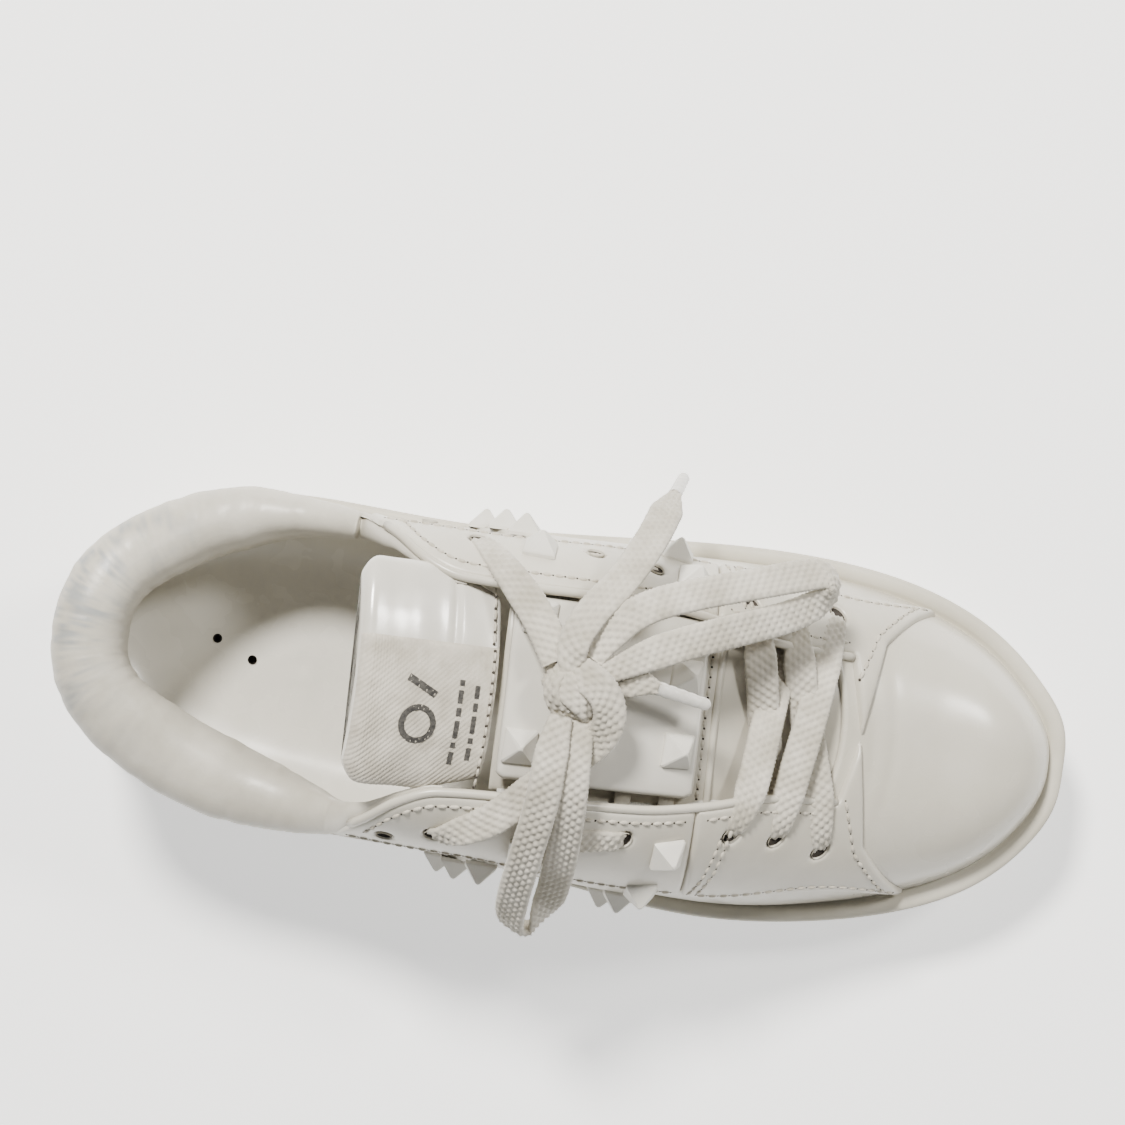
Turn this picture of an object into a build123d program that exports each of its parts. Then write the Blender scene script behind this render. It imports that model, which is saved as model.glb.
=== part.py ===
"""Low court shoe for the right foot, as the separate pieces that it is made and lasted from.

X runs from heel to toe, Y from the outer side of the foot (-) to the inner side (+), Z up.
Lengths along the shoe are counted from the back of the sole. Each finished piece is then moved
by TO_ORIGIN, so that the origin is on the ground under the middle of the sole.
"""

from build123d import *
from collections import namedtuple
import math
import os

os.makedirs("parts", exist_ok=True)

# ---- Driving dimensions, in millimetres -------------------------------------------------
SOLE_LENGTH = 292.0
MIDDLE = SOLE_LENGTH / 2
TO_ORIGIN = Location((-MIDDLE, 0, 0))

# The ground line: flat under heel and ball, then a gentle rise to the toe.
SPRING_START = 200.0
SPRING_RADIUS = 590.0

# Heights above the ground line.
CUP_FLOOR = 10.0
CUP_RIM = 27.0
INSERT_TOP = 17.0
BOARD_TOP = 18.6
FOOTBED_TOP = 23.0

# Depths below the outer leather's skin. Overlays lie outside it, so theirs is negative.
OVERLAY_SKIN = -1.6
LEATHER_SKIN = 0.0
BACKER_SKIN = 1.6
FOAM_SKIN = 2.8
LINING_SKIN = 2.8
FOOT_SKIN = 4.0
COLLAR_PADDING = 10.0
STRAP_SKIN = 0.6
PAD_SKIN = 2.6
TONGUE_SKIN = 8.6
TONGUE_LINING_SKIN = 10.4
TONGUE_INNER_SKIN = 11.4
GLUE = 0.1

RIM_WIDTH = 4.6
BULGE = 0.8
SPAN = 90.0

# The upper's cross-sections. lateral and medial are the walls at the base, crown is the top of
# the arch, boxiness its superellipse exponent, flare how far the walls lean out on their way up
# and pad the share of the collar's padding.
Station = namedtuple("Station", "x lateral medial ridge crown boxiness flare pad")
STATIONS = (
    Station(5.4, -5, 12, 3.5, 104, 4.0, 0, 1),
    Station(12, -18.5, 26.5, 3.5, 106, 4.0, 0, 1),
    Station(25, -29, 37, 3.0, 106, 4.0, 0, 1),
    Station(48, -38, 45, 2.5, 105, 4.0, 1.5, 1),
    Station(78, -42.5, 45.5, 2.0, 104, 3.8, 2.5, 0.9),
    Station(112, -44.5, 43.5, 1.5, 103, 3.6, 5, 0),
    Station(150, -49, 44.5, 1.5, 99, 3.5, 3, 0),
    Station(190, -54, 46.5, 1.0, 82, 3.0, 0, 0),
    Station(224, -51.5, 45, 0.0, 62, 2.7, 0, 0),
    Station(250, -45, 39, -1.5, 54, 2.6, 0, 0),
    Station(268, -36, 29.5, -2.0, 50, 2.6, 0, 0),
    Station(281, -23, 17, -2.5, 45.5, 2.6, 0, 0),
    Station(286.6, -12, 8, -2.5, 40.5, 2.6, 0, 0),
)
ARCH_POINTS = 9
NARROW_END = 18.0

# The throat between the two lace rows, as (x, half gap), and its centre line.
THROAT_CENTRE = 1.5
THROAT = ((84, 43), (95, 38), (104, 32), (115, 28), (140, 27.3), (168, 27), (186, 24.6),
          (201, 21.2), (221, 20))
THROAT_FRONT = 227.0
THROAT_BOTTOM = 48.0

# Side views, as (x, z). The collar's top edge, and the seams between the panels.
TOPLINE = ((-12, 79), (4, 78.5), (20, 74), (42, 66), (62, 64), (78, 70), (88, 82), (94, 100),
           (97, 130))
COLLAR_BAND = 13.0
VAMP_SEAM = ((243, 10), (232, 46), (224, 62), (214, 90))
HEEL_PATCH_FRONT = ((74, 20), (70, 45), (62, 80))
STRAP_REAR = ((98, 20), (113, 44), (126, 66), (134, 90), (136, 120))
STRAP_FRONT = ((152, 20), (166, 34), (176, 60), (181, 80), (184, 120))
EYESTAY_SEAM = ((183, 50), (186, 66), (195, 100))
WING_EDGE = ((84, 70), (92, 77), (120, 77), (150, 70), (183, 58), (218, 47), (238, 38), (250, 30))
WING_FRONT = ((250, 30), (243, 42), (234, 53), (224, 66), (214, 100))

# Lace rows: each eyelet as (x, y), from the toe backwards.
EYELETS_LATERAL = ((221, -32.5), (207.5, -30), (194.5, -30), (165, -34), (145.5, -36.5),
                   (114.5, -38), (101.5, -40))
EYELETS_MEDIAL = ((218.5, 32.5), (206, 31), (193, 32), (165.5, 38), (149, 40), (117, 40),
                  (103, 43.5))
EYE_HEIGHT = 40.0
EYELET_RADIUS = 2.5
LACE_RADIUS = 1.5

# Studs: four-sided caps on a short post, as (x, angle above level) down each side.
STUD_BASE = 9.2
STUD_SKIRT = 1.0
STUD_HEIGHT = 6.0
STUD_TIP = 0.6
POST_RADIUS = 1.2
POST_LENGTH = 1.3
STUDS_LATERAL = ((177.5, 46), (172.5, 26), (167.5, 9), (163, -5),
                 (139.5, 50), (128, 31), (120.5, 14), (115, 0))
STUDS_MEDIAL = ((176, 47), (171.7, 30), (167, 14), (163, 0),
                (134, 51), (129, 35), (123, 19), (117, 4))
STUDS_STRAP = ((177, -9.2), (177, 11), (135, -12.5), (136.5, 22))

# Tongue. STRAP_X is where its studded strap starts and ends, PLAN its stitched-down sheet. The
# loose top folds about a line across the shoe, and rises backwards from it as a curved leaf.
STRAP_X = (129.5, 182.5)
TONGUE_PLAN = ((128.5, -31), (185, -29), (236, -23), (236, 24), (185, 31), (128.5, 33))
FOLD_X, FOLD_Z = 127.6, 98.5
LEAF_RISE = 22.5
LEAF_LENGTH = 38.5
LEAF_WIDTH = (46, 60)
LEAF_CURVE = 75.0
LEAF_LAYERS = {"tongue_top_cover": (0, 1.4), "tongue_top_foam": (1.4, 6), "tongue_top_lining": (6, 7.2)}
LABEL_THICKNESS = 0.6
LABEL_Y = (-29, 21)

# The bow: its knot, and the free cords that leave it, each a loop and then an end.
KNOT_CENTRE = (147, 5, 108)
KNOT_RADII = (8, 10, 6.5)
AGLET_RADIUS = 1.7


def toe_rise(x):
    """How far the ground line is above the ground."""
    return max(0.0, x - SPRING_START) ** 2 / (2 * SPRING_RADIUS)


# ---- Tools that the pieces are cut with ---------------------------------------------------
def arch_point(station, depth, padding, angle):
    """(y, z) on a station's cross-section; angle 0 is the inner wall, 180 the outer."""
    c, s = math.cos(math.radians(angle)), math.sin(math.radians(angle))
    base = CUP_FLOOR + toe_rise(station.x)
    rise = abs(s) ** (2 / station.boxiness)
    out = abs(c) ** (2 / station.boxiness)
    reach = abs((station.medial if c > 0 else station.lateral) - station.ridge)
    inset = depth + padding * station.pad * rise
    half = reach - inset * min(1, reach / NARROW_END) + station.flare * rise
    side = math.copysign(1, c)
    return station.ridge + side * out * half, base + rise * (station.crown - base - depth)


def upper_form(depth, padding=0.0):
    """The closed form at that depth under the upper's skin, flat at the cup's floor."""
    step = 180 / (ARCH_POINTS - 1)
    with BuildPart() as form:
        for station in STATIONS:
            x = station.x + depth * (1 - station.x / MIDDLE)
            if station.x < MIDDLE:
                x += 0.6 * padding * station.pad * (1 - station.x / MIDDLE)
            with BuildSketch(Plane.YZ.offset(x)):
                with BuildLine():
                    points = [arch_point(station, depth, padding, step * i)
                              for i in range(ARCH_POINTS)]
                    arch = Spline(*points, tangents=((0, 1), (0, -1)))
                    Line(arch @ 1, arch @ 0)
                make_face()
        loft(ruled=True)
    return form.part


def level_layer(low, high):
    """Everything between two heights above the ground line."""
    rear, front = -20.0, SOLE_LENGTH + 20
    with BuildPart() as layer:
        with BuildSketch(Plane.XZ):
            with BuildLine():
                edges = []
                for height in (low, high):
                    start, end = (SPRING_START, height), (front, height + toe_rise(front))
                    middle = (SPRING_START + front) / 2
                    edges.append(Line((rear, height), start))
                    edges.append(ThreePointArc(start, (middle, height + toe_rise(middle)), end))
                Line(edges[0] @ 0, edges[2] @ 0)
                Line(edges[1] @ 1, edges[3] @ 1)
            make_face()
        extrude(amount=SPAN, both=True)
    return layer.part


def side_region(*corners, curved=()):
    """A prism across the whole shoe. Its outline in side view, as (x, z) points, starts with a
    curve through the points of curved and goes on straight from corner to corner."""
    with BuildPart() as region:
        with BuildSketch(Plane.XZ):
            with BuildLine():
                if curved:
                    curve = Spline(*curved)
                    Polyline(curve @ 1, *corners, curve @ 0)
                else:
                    Polyline(*corners, close=True)
            make_face()
        extrude(amount=SPAN, both=True)
    return region.part


def throat_slot(ease=0.0):
    """The open throat, a slot down through the instep, rounded at its front."""
    with BuildPart() as slot:
        with BuildSketch(Plane.XY.offset(THROAT_BOTTOM)):
            with BuildLine():
                outer = Spline(*[(x, THROAT_CENTRE - gap + ease) for x, gap in THROAT])
                inner = Spline(*[(x, THROAT_CENTRE + gap - ease) for x, gap in THROAT])
                ThreePointArc(outer @ 1, (THROAT_FRONT - ease / 2, THROAT_CENTRE), inner @ 1)
                Line(outer @ 0, inner @ 0)
            make_face()
        extrude(amount=SPAN)
    return slot.part


def half_space(side):
    """Everything on one side of the shoe's ridge: -1 is the outer side, 1 the inner side."""
    with BuildPart() as half:
        with BuildSketch(Plane.XY.offset(-5)):
            with BuildLine():
                ridge = Polyline((-30, 3.5), (48, 2.5), (150, 1.5), (224, 0), (320, -2.5))
                Polyline(ridge @ 1, (320, side * SPAN), (-30, side * SPAN), ridge @ 0)
            make_face()
        extrude(amount=170)
    return half.part


def plan_region(outline, low=20.0, high=140.0):
    """A prism with that outline in plan, as (x, y) points."""
    with BuildPart() as region:
        with BuildSketch(Plane.XY.offset(low)):
            with BuildLine():
                Polyline(*outline, close=True)
            make_face()
        extrude(amount=high - low)
    return region.part


def cut_from(body, *keep, without=()):
    """The part of a body that lies in every region of keep and in none of without."""
    with BuildPart() as piece:
        add(body)
        for region in keep:
            add(region, mode=Mode.INTERSECT)
        for region in without:
            add(region, mode=Mode.SUBTRACT)
    return piece.part


def skin_place(form, start, direction=(0, 0, 1)):
    """The plane that touches a form where a ray from a point inside it leaves it. The plane's
    x direction runs along the shoe."""
    ray = Axis(start, direction)
    hits = form.find_intersection_points(ray)
    point, normal = max(hits, key=lambda hit: (hit[0] - ray.position).dot(ray.direction))
    if normal.dot(ray.direction) < 0:
        normal = -normal
    along = Vector(1, 0, 0) - normal * normal.X
    return Plane(point, x_dir=along, z_dir=normal)


def save(part, name):
    """Writes one finished piece, at its place over the origin."""
    placed = part.moved(TO_ORIGIN)
    placed.label = name
    export_step(placed, f"parts/{name}.step")


# ---- The forms and regions -----------------------------------------------------------------
def shell(outer, inner, padding=0.0, inner_padding=0.0):
    """One layer of the upper between two depths, with the throat and the foot opening cut."""
    inner_form = upper_form(inner - GLUE, inner_padding)
    return cut_from(upper_form(outer, padding), above_board,
                    without=(inner_form, throat, above_topline))


OVER = 150.0
below_everything = 5.0
above_board = level_layer(BOARD_TOP + GLUE, OVER)
above_rim = level_layer(CUP_RIM + GLUE, OVER)
throat = throat_slot()
topline_end, topline_start = TOPLINE[-1], TOPLINE[0]
above_topline = side_region((topline_end[0], OVER), (topline_start[0], OVER), curved=TOPLINE)
band_line = tuple((x, z - COLLAR_BAND) for x, z in TOPLINE)
above_band = side_region((topline_end[0], OVER), (topline_start[0], OVER), curved=band_line)
outer_half, inner_half = half_space(-1), half_space(1)
FAR = SOLE_LENGTH + 20
toe_region = side_region((VAMP_SEAM[-1][0], OVER), (FAR, OVER), (FAR, below_everything),
                         curved=VAMP_SEAM)
over_wing_edge = side_region((FAR, WING_EDGE[-1][1]), (FAR, OVER), (60, OVER), (60, 70),
                             curved=WING_EDGE)
behind_wing_front = side_region((WING_FRONT[-1][0], OVER), (-20, OVER), (-20, 30),
                                curved=WING_FRONT)
before_eyestay_seam = side_region((EYESTAY_SEAM[-1][0], OVER), (FAR, OVER), (FAR, 20), (183, 20),
                                  curved=EYESTAY_SEAM)
before_strap_rear = side_region((FAR, 120), (FAR, 20), curved=STRAP_REAR)
behind_strap_front = side_region((60, 120), (60, 20), curved=STRAP_FRONT)
behind_heel_front = side_region((-20, 80), (-20, 20), curved=HEEL_PATCH_FRONT)
halves = {"lateral": outer_half, "medial": inner_half}

print("layers of the upper")
overlay = shell(OVERLAY_SKIN, LEATHER_SKIN)
leather = shell(LEATHER_SKIN, BACKER_SKIN)
backer = shell(BACKER_SKIN, FOAM_SKIN)
lining = shell(LINING_SKIN, FOOT_SKIN, COLLAR_PADDING, COLLAR_PADDING)
foam = shell(FOAM_SKIN, LINING_SKIN, 0, COLLAR_PADDING)
overlay_form = upper_form(OVERLAY_SKIN)

# ---- Places of the eyelets, studs and lace ------------------------------------------------
EYES = {"lateral": [skin_place(overlay_form, (x, y, EYE_HEIGHT)) for x, y in EYELETS_LATERAL],
        "medial": [skin_place(overlay_form, (x, y, EYE_HEIGHT)) for x, y in EYELETS_MEDIAL]}


def side_ray(x, angle, side):
    """Where a stud sits: a ray from the shoe's middle, at an angle above level."""
    out = -1 if side == "lateral" else 1
    turn = math.radians(angle)
    return (x, THROAT_CENTRE, EYE_HEIGHT), (0, out * math.cos(turn), math.sin(turn))


strap_form = upper_form(STRAP_SKIN)
STUD_PLACES = {
    "lateral": [skin_place(overlay_form, *side_ray(x, a, "lateral")) for x, a in STUDS_LATERAL],
    "medial": [skin_place(overlay_form, *side_ray(x, a, "medial")) for x, a in STUDS_MEDIAL],
    "tongue": [skin_place(strap_form, (x, y, EYE_HEIGHT)) for x, y in STUDS_STRAP],
}


def drills(places, radius, depth):
    """Round cutters that go in along each place's inward normal."""
    with BuildPart() as made:
        with Locations(*[place.offset(-depth / 2 + 1).location for place in places]):
            Cylinder(radius, depth + 2)
    return made.part


WALL = 26.0
eyelet_drills = drills(EYES["lateral"] + EYES["medial"], EYELET_RADIUS, WALL)
post_drills = {side: drills(places, POST_RADIUS + GLUE, POST_LENGTH + GLUE)
               for side, places in STUD_PLACES.items()}

# ---- Sole unit ----------------------------------------------------------------------------
print("sole")


def outline_points(outward):
    """Points round the sole's plan outline, moved outward from the upper's widest line."""
    rear, front = STATIONS[0], STATIONS[-1]
    points = [Vector(s.x, s.lateral) for s in STATIONS]
    points.append(Vector(front.x + BULGE, front.ridge))
    points += [Vector(s.x, s.medial) for s in reversed(STATIONS)]
    points.append(Vector(rear.x - BULGE, rear.ridge))
    moved = []
    for i, point in enumerate(points):
        along = (points[(i + 1) % len(points)] - points[i - 1]).normalized()
        moved.append(point + Vector(along.Y, -along.X) * outward)
    return moved


def sole_plan(outward):
    """The upper's outline at its base, moved outward, as a prism."""
    with BuildPart() as plan:
        with BuildSketch():
            with BuildLine():
                Spline(*outline_points(outward), periodic=True)
            make_face()
        extrude(amount=2 * CUP_RIM)
    return plan.part


GROOVE_PITCH, GROOVE_WIDTH, GROOVE_DEPTH, TREAD_INSET = 9.0, 2.2, 2.0, 2.0
REST_PAD = (128, 164)
LINE_HEIGHT, LINE_WIDTH, LINE_DEPTH = 20.5, 1.2, 0.8

with BuildPart() as tread:
    x = 14.0
    while x < SOLE_LENGTH - 14:
        if not REST_PAD[0] < x < REST_PAD[1]:
            height = toe_rise(x) + GROOVE_DEPTH
            with Locations((x, 0, height / 2 - 1)):
                Box(GROOVE_WIDTH, 2 * SPAN, height + 2)
        x += GROOVE_PITCH
    add(sole_plan(-TREAD_INSET), mode=Mode.INTERSECT)

with BuildPart() as line_cutter:
    add(sole_plan(RIM_WIDTH + 2))
    add(sole_plan(RIM_WIDTH - LINE_DEPTH), mode=Mode.SUBTRACT)
    add(level_layer(LINE_HEIGHT, LINE_HEIGHT + LINE_WIDTH), mode=Mode.INTERSECT)

with BuildPart() as outsole_cup:
    add(sole_plan(RIM_WIDTH))
    add(tread.part, mode=Mode.SUBTRACT)
    add(level_layer(0, CUP_RIM), mode=Mode.INTERSECT)
    add(upper_form(LEATHER_SKIN - GLUE), mode=Mode.SUBTRACT)
    add(line_cutter.part, mode=Mode.SUBTRACT)
save(outsole_cup.part, "outsole_cup")

inside_cup = upper_form(LEATHER_SKIN)
with BuildPart() as midsole_insert:
    add(inside_cup)
    add(level_layer(CUP_FLOOR - 1, INSERT_TOP), mode=Mode.INTERSECT)
save(midsole_insert.part, "midsole_insert")

with BuildPart() as lasting_board:
    add(inside_cup)
    add(level_layer(INSERT_TOP + GLUE, BOARD_TOP), mode=Mode.INTERSECT)
save(lasting_board.part, "lasting_board")

VENTS = ((41.8, 5.9), (52.7, 0.8))
VENT_RADIUS = 1.6
with BuildPart() as footbed:
    add(upper_form(FOOT_SKIN + 2 * GLUE, COLLAR_PADDING))
    add(level_layer(BOARD_TOP + GLUE, FOOTBED_TOP), mode=Mode.INTERSECT)
    with Locations(*[(x, y, FOOTBED_TOP) for x, y in VENTS]):
        Cylinder(VENT_RADIUS, 4 * FOOTBED_TOP, mode=Mode.SUBTRACT)
save(footbed.part, "footbed")

# ---- Upper --------------------------------------------------------------------------------
print("upper")


def largest(part):
    """The main solid of a cut, without crumbs."""
    return Part() + part.solids().sort_by(SortBy.VOLUME)[-1]


save(cut_from(leather, toe_region), "vamp")
save(largest(cut_from(leather, above_band)), "collar_cover")
quarters = cut_from(leather, without=(toe_region, above_band, eyelet_drills))
for side, half in halves.items():
    save(cut_from(quarters, half), f"quarter_{side}")

PUFF_REAR, COUNTER_FRONT, COUNTER_TOP = 250, 66, 50
counter_region = side_region((-20, 10), (COUNTER_FRONT, 10), (COUNTER_FRONT - 8, COUNTER_TOP),
                             (-20, COUNTER_TOP))
puff_region = side_region((PUFF_REAR, 10), (FAR, 10), (FAR, OVER), (PUFF_REAR - 8, OVER))
save(cut_from(backer, counter_region), "heel_counter")
save(cut_from(backer, puff_region), "toe_puff")
stays = cut_from(backer, without=(counter_region, puff_region, eyelet_drills, above_band))
for side, half in halves.items():
    save(cut_from(stays, half), f"backer_{side}")
save(largest(cut_from(foam, without=(eyelet_drills,))), "collar_foam")

lining_front = cut_from(lining, toe_region)
save(lining_front, "vamp_lining")
lining_rear = cut_from(lining, without=(toe_region, eyelet_drills))
for side, half in halves.items():
    save(cut_from(lining_rear, half), f"quarter_lining_{side}")

# ---- Overlays -----------------------------------------------------------------------------
print("overlays")
flaps = cut_from(overlay, above_rim, without=(eyelet_drills,))
save(cut_from(flaps, behind_heel_front, without=(above_band,)), "heel_patch")
for side, half in halves.items():
    holes = post_drills[side]
    eyestay = cut_from(flaps, half, over_wing_edge, behind_wing_front, without=(holes,))
    save(largest(cut_from(eyestay, before_eyestay_seam)), f"eyestay_front_{side}")
    save(largest(cut_from(eyestay, without=(before_eyestay_seam,))), f"eyestay_rear_{side}")
    band = cut_from(flaps, half, before_strap_rear, behind_strap_front,
                    without=(over_wing_edge, holes))
    save(band, f"stud_strap_{side}")

# ---- Studs --------------------------------------------------------------------------------
print("studs")
for side, places in STUD_PLACES.items():
    with BuildPart() as studs:
        for place in places:
            with BuildSketch(place.offset(GLUE)):
                Rectangle(STUD_BASE, STUD_BASE)
            extrude(amount=STUD_SKIRT)
            with BuildSketch(place.offset(GLUE + STUD_SKIRT)):
                Rectangle(STUD_BASE, STUD_BASE)
            with BuildSketch(place.offset(STUD_HEIGHT)):
                Rectangle(STUD_TIP, STUD_TIP)
            loft()
            with BuildSketch(place.offset(GLUE)):
                Circle(POST_RADIUS)
            extrude(amount=-POST_LENGTH - GLUE)
    save(studs.part, f"studs_{side}")

# ---- Tongue -------------------------------------------------------------------------------
print("tongue")
tongue_plan = plan_region(TONGUE_PLAN, THROAT_BOTTOM - 6)
strap_box = plan_region(((STRAP_X[0], -SPAN), (STRAP_X[1], -SPAN), (STRAP_X[1], SPAN),
                         (STRAP_X[0], SPAN)))
SEAM_TAB = ((226, -17), (234, -17), (234, 18), (226, 18))

with BuildPart() as tongue_base:
    add(cut_from(upper_form(TONGUE_SKIN), tongue_plan,
                 without=(upper_form(TONGUE_LINING_SKIN - GLUE),)))
    add(cut_from(upper_form(FOOT_SKIN + GLUE), plan_region(SEAM_TAB),
                 without=(upper_form(TONGUE_SKIN + 0.5),)))
save(tongue_base.part, "tongue_base")
save(cut_from(upper_form(TONGUE_LINING_SKIN), tongue_plan,
              without=(upper_form(TONGUE_INNER_SKIN),)), "tongue_lining")
save(cut_from(upper_form(PAD_SKIN), strap_box, throat_slot(6.0),
              without=(upper_form(TONGUE_SKIN - GLUE),)), "tongue_pad")
save(cut_from(strap_form, strap_box, throat_slot(3.2),
              without=(upper_form(PAD_SKIN - GLUE), post_drills["tongue"])), "tongue_strap")

# The loose top: layers of a leaf, curved across the shoe, that share one outline.
slope = math.radians(LEAF_RISE)
backwards, upright = (-math.cos(slope), 0, math.sin(slope)), (math.sin(slope), 0, math.cos(slope))
leaf_plane = Plane((FOLD_X, THROAT_CENTRE, FOLD_Z), x_dir=backwards, z_dir=upright)
across = Plane((FOLD_X, THROAT_CENTRE, FOLD_Z), x_dir=(0, 1, 0), z_dir=backwards)
with BuildPart() as leaf_outline:
    with BuildSketch(leaf_plane.offset(-40)) as leaf_sketch:
        with BuildLine():
            root, tip = LEAF_WIDTH[0] / 2, LEAF_WIDTH[1] / 2
            Polyline((1, -root), (LEAF_LENGTH, -tip), (LEAF_LENGTH, tip), (1, root), close=True)
        make_face()
        fillet(leaf_sketch.vertices().group_by(Axis.X)[0], 9)
    extrude(amount=60)


def leaf_layer(low, high):
    """The leaf between two depths below its outer skin."""
    with BuildPart() as layer:
        with BuildSketch(across):
            with Locations((0, -LEAF_CURVE)):
                Circle(LEAF_CURVE - low)
                Circle(LEAF_CURVE - high, mode=Mode.SUBTRACT)
        extrude(amount=LEAF_LENGTH + 5)
        add(leaf_outline.part, mode=Mode.INTERSECT)
    return layer.part


for name, (low, high) in LEAF_LAYERS.items():
    save(leaf_layer(low, high - GLUE), name)
label_region = plan_region(((60, LABEL_Y[0]), (140, LABEL_Y[0]), (140, LABEL_Y[1]), (60, LABEL_Y[1])))
save(largest(cut_from(leaf_layer(-LABEL_THICKNESS - GLUE, -GLUE), label_region)), "tongue_label")

# ---- Laces --------------------------------------------------------------------------------
print("laces")
LIFT = 2.9
UNDER = -8.1
RUN_SHARE = 0.45


def over(x, y, height):
    """A point at a height above the overlays' skin, or below it if the height is negative."""
    place = skin_place(overlay_form, (x, y, EYE_HEIGHT))
    return place.origin + place.z_dir * height


def out_of(side, row):
    """Just outside an eyelet. Rows count from the toe, starting with 1."""
    place = EYES[side][row - 1]
    return place.origin + place.z_dir * LIFT


def into(side, row):
    """Just inside the wall, behind an eyelet."""
    place = EYES[side][row - 1]
    return place.origin + place.z_dir * UNDER


def tube(name, points, radius=LACE_RADIUS):
    """A round cord along straight runs, joined by arcs as large as its shorter runs allow."""
    points = [Vector(*point) if isinstance(point, tuple) else point for point in points]
    runs = [b - a for a, b in zip(points, points[1:])]
    radii = []
    for before, after in zip(runs, runs[1:]):
        half_turn = math.radians(before.get_angle(after)) / 2
        radii.append(RUN_SHARE * min(before.length, after.length) / math.tan(half_turn))
    with BuildPart() as cord:
        with BuildLine() as route:
            FilletPolyline(*points, radius=radii)
        path = route.wires()[0]
        with BuildSketch(Plane(path @ 0, z_dir=path % 0)):
            Circle(radius)
        sweep(path=path)
    ideal = math.pi * radius**2 * path.length
    print(f"{name}: {path.length:.0f} mm long, volume {cord.part.volume / ideal:.4f} of its ideal,",
          f"tightest bend {min(radii):.1f} mm, radii", [round(r, 1) for r in radii])
    save(cord.part, name)
    return cord.part


LATERAL_LEAD = [(154, 0.5, 108.5), (157.5, -4, 106), (152.5, -12, 103.6), (142.5, -20.5, 103),
                over(131.5, -32, 3.2), over(122, -37, LIFT)]
MEDIAL_LEAD = [over(124.5, 33.5, 3.0), (131, 27.5, 103), (138, 19.5, 107.5), (142.5, 11, 109)]
lace = tube("lace", LATERAL_LEAD + [
    out_of("lateral", 6), into("lateral", 6), into("lateral", 5), out_of("lateral", 5),
    out_of("lateral", 4), into("lateral", 4), into("lateral", 3), out_of("lateral", 3),
    over(199.5, -16, LIFT), over(201.5, 2, -1), over(204, 18, UNDER),
    into("medial", 2), out_of("medial", 2),
    over(208, 18, LIFT), over(213.5, 0, -2.6), over(219, -17, LIFT),
    out_of("lateral", 1), into("lateral", 1), over(219.5, -12, UNDER), over(218.5, 12, UNDER),
    into("medial", 1), out_of("medial", 1),
    over(216, 18, LIFT), over(213, 0, LIFT + 0.2), over(209.5, -17, LIFT),
    out_of("lateral", 2), into("lateral", 2), over(204.5, -17, UNDER), over(201, 0, -6),
    over(197, 18, LIFT), out_of("medial", 3), into("medial", 3),
    over(170, 38.5, UNDER), over(143, 41, UNDER), into("medial", 6), out_of("medial", 6),
] + MEDIAL_LEAD)

BOW_MEDIAL = ((151.5, 12.5, 109.5), (156, 21.5, 110), (164, 28, 108.5), (177, 33, 103),
              (192, 37.5, 95), (204.5, 41.5, 88), (212.5, 43.5, 83.5), (215.2, 38, 82),
              (209.5, 34, 83.5), (202.5, 30, 87.8), (192, 26, 94.5), (180, 21.5, 101.5),
              (168, 16.5, 106.5), (156.5, 10, 109), (147.5, 7, 111), (145, 14.5, 112.2),
              (149, 24, 111.5), (157, 34, 106), (163.5, 46, 95), (167, 55.5, 82), (169, 60.5, 71))
BOW_LATERAL = ((145, -3, 110.5), (143.5, -12, 112), (143, -25, 109.5), (140, -41, 100),
               (137.5, -55, 85), (137.5, -63.5, 72), (144.5, -63.5, 66.5), (148, -54, 77),
               (149.5, -41, 94), (150, -25, 107), (149.5, -12, 110), (150.5, -1, 107),
               (155.5, 7.5, 105.5), (163, 8.5, 106), (169.5, 7, 103.5))
tube("bow_medial", BOW_MEDIAL)
tube("bow_lateral", BOW_LATERAL)

with BuildPart() as ball:
    Sphere(1)
    scale(by=KNOT_RADII)
save(ball.part.moved(Location(KNOT_CENTRE)), "bow_knot")

AGLET_LENGTH = 16.0
for name, route in (("aglet_medial", BOW_MEDIAL), ("aglet_front", BOW_LATERAL)):
    end = Vector(*route[-1])
    with BuildPart() as aglet:
        with BuildSketch(Plane(end, z_dir=end - Vector(*route[-2]))):
            Circle(AGLET_RADIUS)
        extrude(amount=AGLET_LENGTH)
        tip_edge = aglet.faces().sort_by_distance(end)[-1].edges()
        fillet(tip_edge, 0.8)
    save(aglet.part, name)
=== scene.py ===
"""The court shoe's visual model: leather panels, cup sole, padding, studs, stitching and laces."""
import math

import bpy
import numpy as np
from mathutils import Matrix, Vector, noise
from mathutils.geometry import delaunay_2d_cdt


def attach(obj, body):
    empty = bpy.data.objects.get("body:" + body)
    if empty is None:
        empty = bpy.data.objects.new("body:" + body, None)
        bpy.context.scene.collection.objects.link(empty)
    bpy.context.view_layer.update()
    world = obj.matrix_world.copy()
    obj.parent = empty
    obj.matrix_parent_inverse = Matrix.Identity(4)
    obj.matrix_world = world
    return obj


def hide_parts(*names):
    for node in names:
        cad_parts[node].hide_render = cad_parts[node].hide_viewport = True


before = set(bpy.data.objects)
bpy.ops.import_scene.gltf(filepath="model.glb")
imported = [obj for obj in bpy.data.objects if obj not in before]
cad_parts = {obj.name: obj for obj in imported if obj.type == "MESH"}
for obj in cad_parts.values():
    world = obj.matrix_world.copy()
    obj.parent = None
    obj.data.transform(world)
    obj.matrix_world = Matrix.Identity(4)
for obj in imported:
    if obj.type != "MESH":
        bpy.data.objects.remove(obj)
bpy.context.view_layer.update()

# Lengths are millimetres counted from the back of the sole; the shared frame is in metres, with its
# origin under the middle of the sole.
MIDDLE = 146.0
SPRING_START, SPRING_RADIUS = 200.0, 590.0
OVERLAY = 1.6
TIP_X = 287.4
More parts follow.
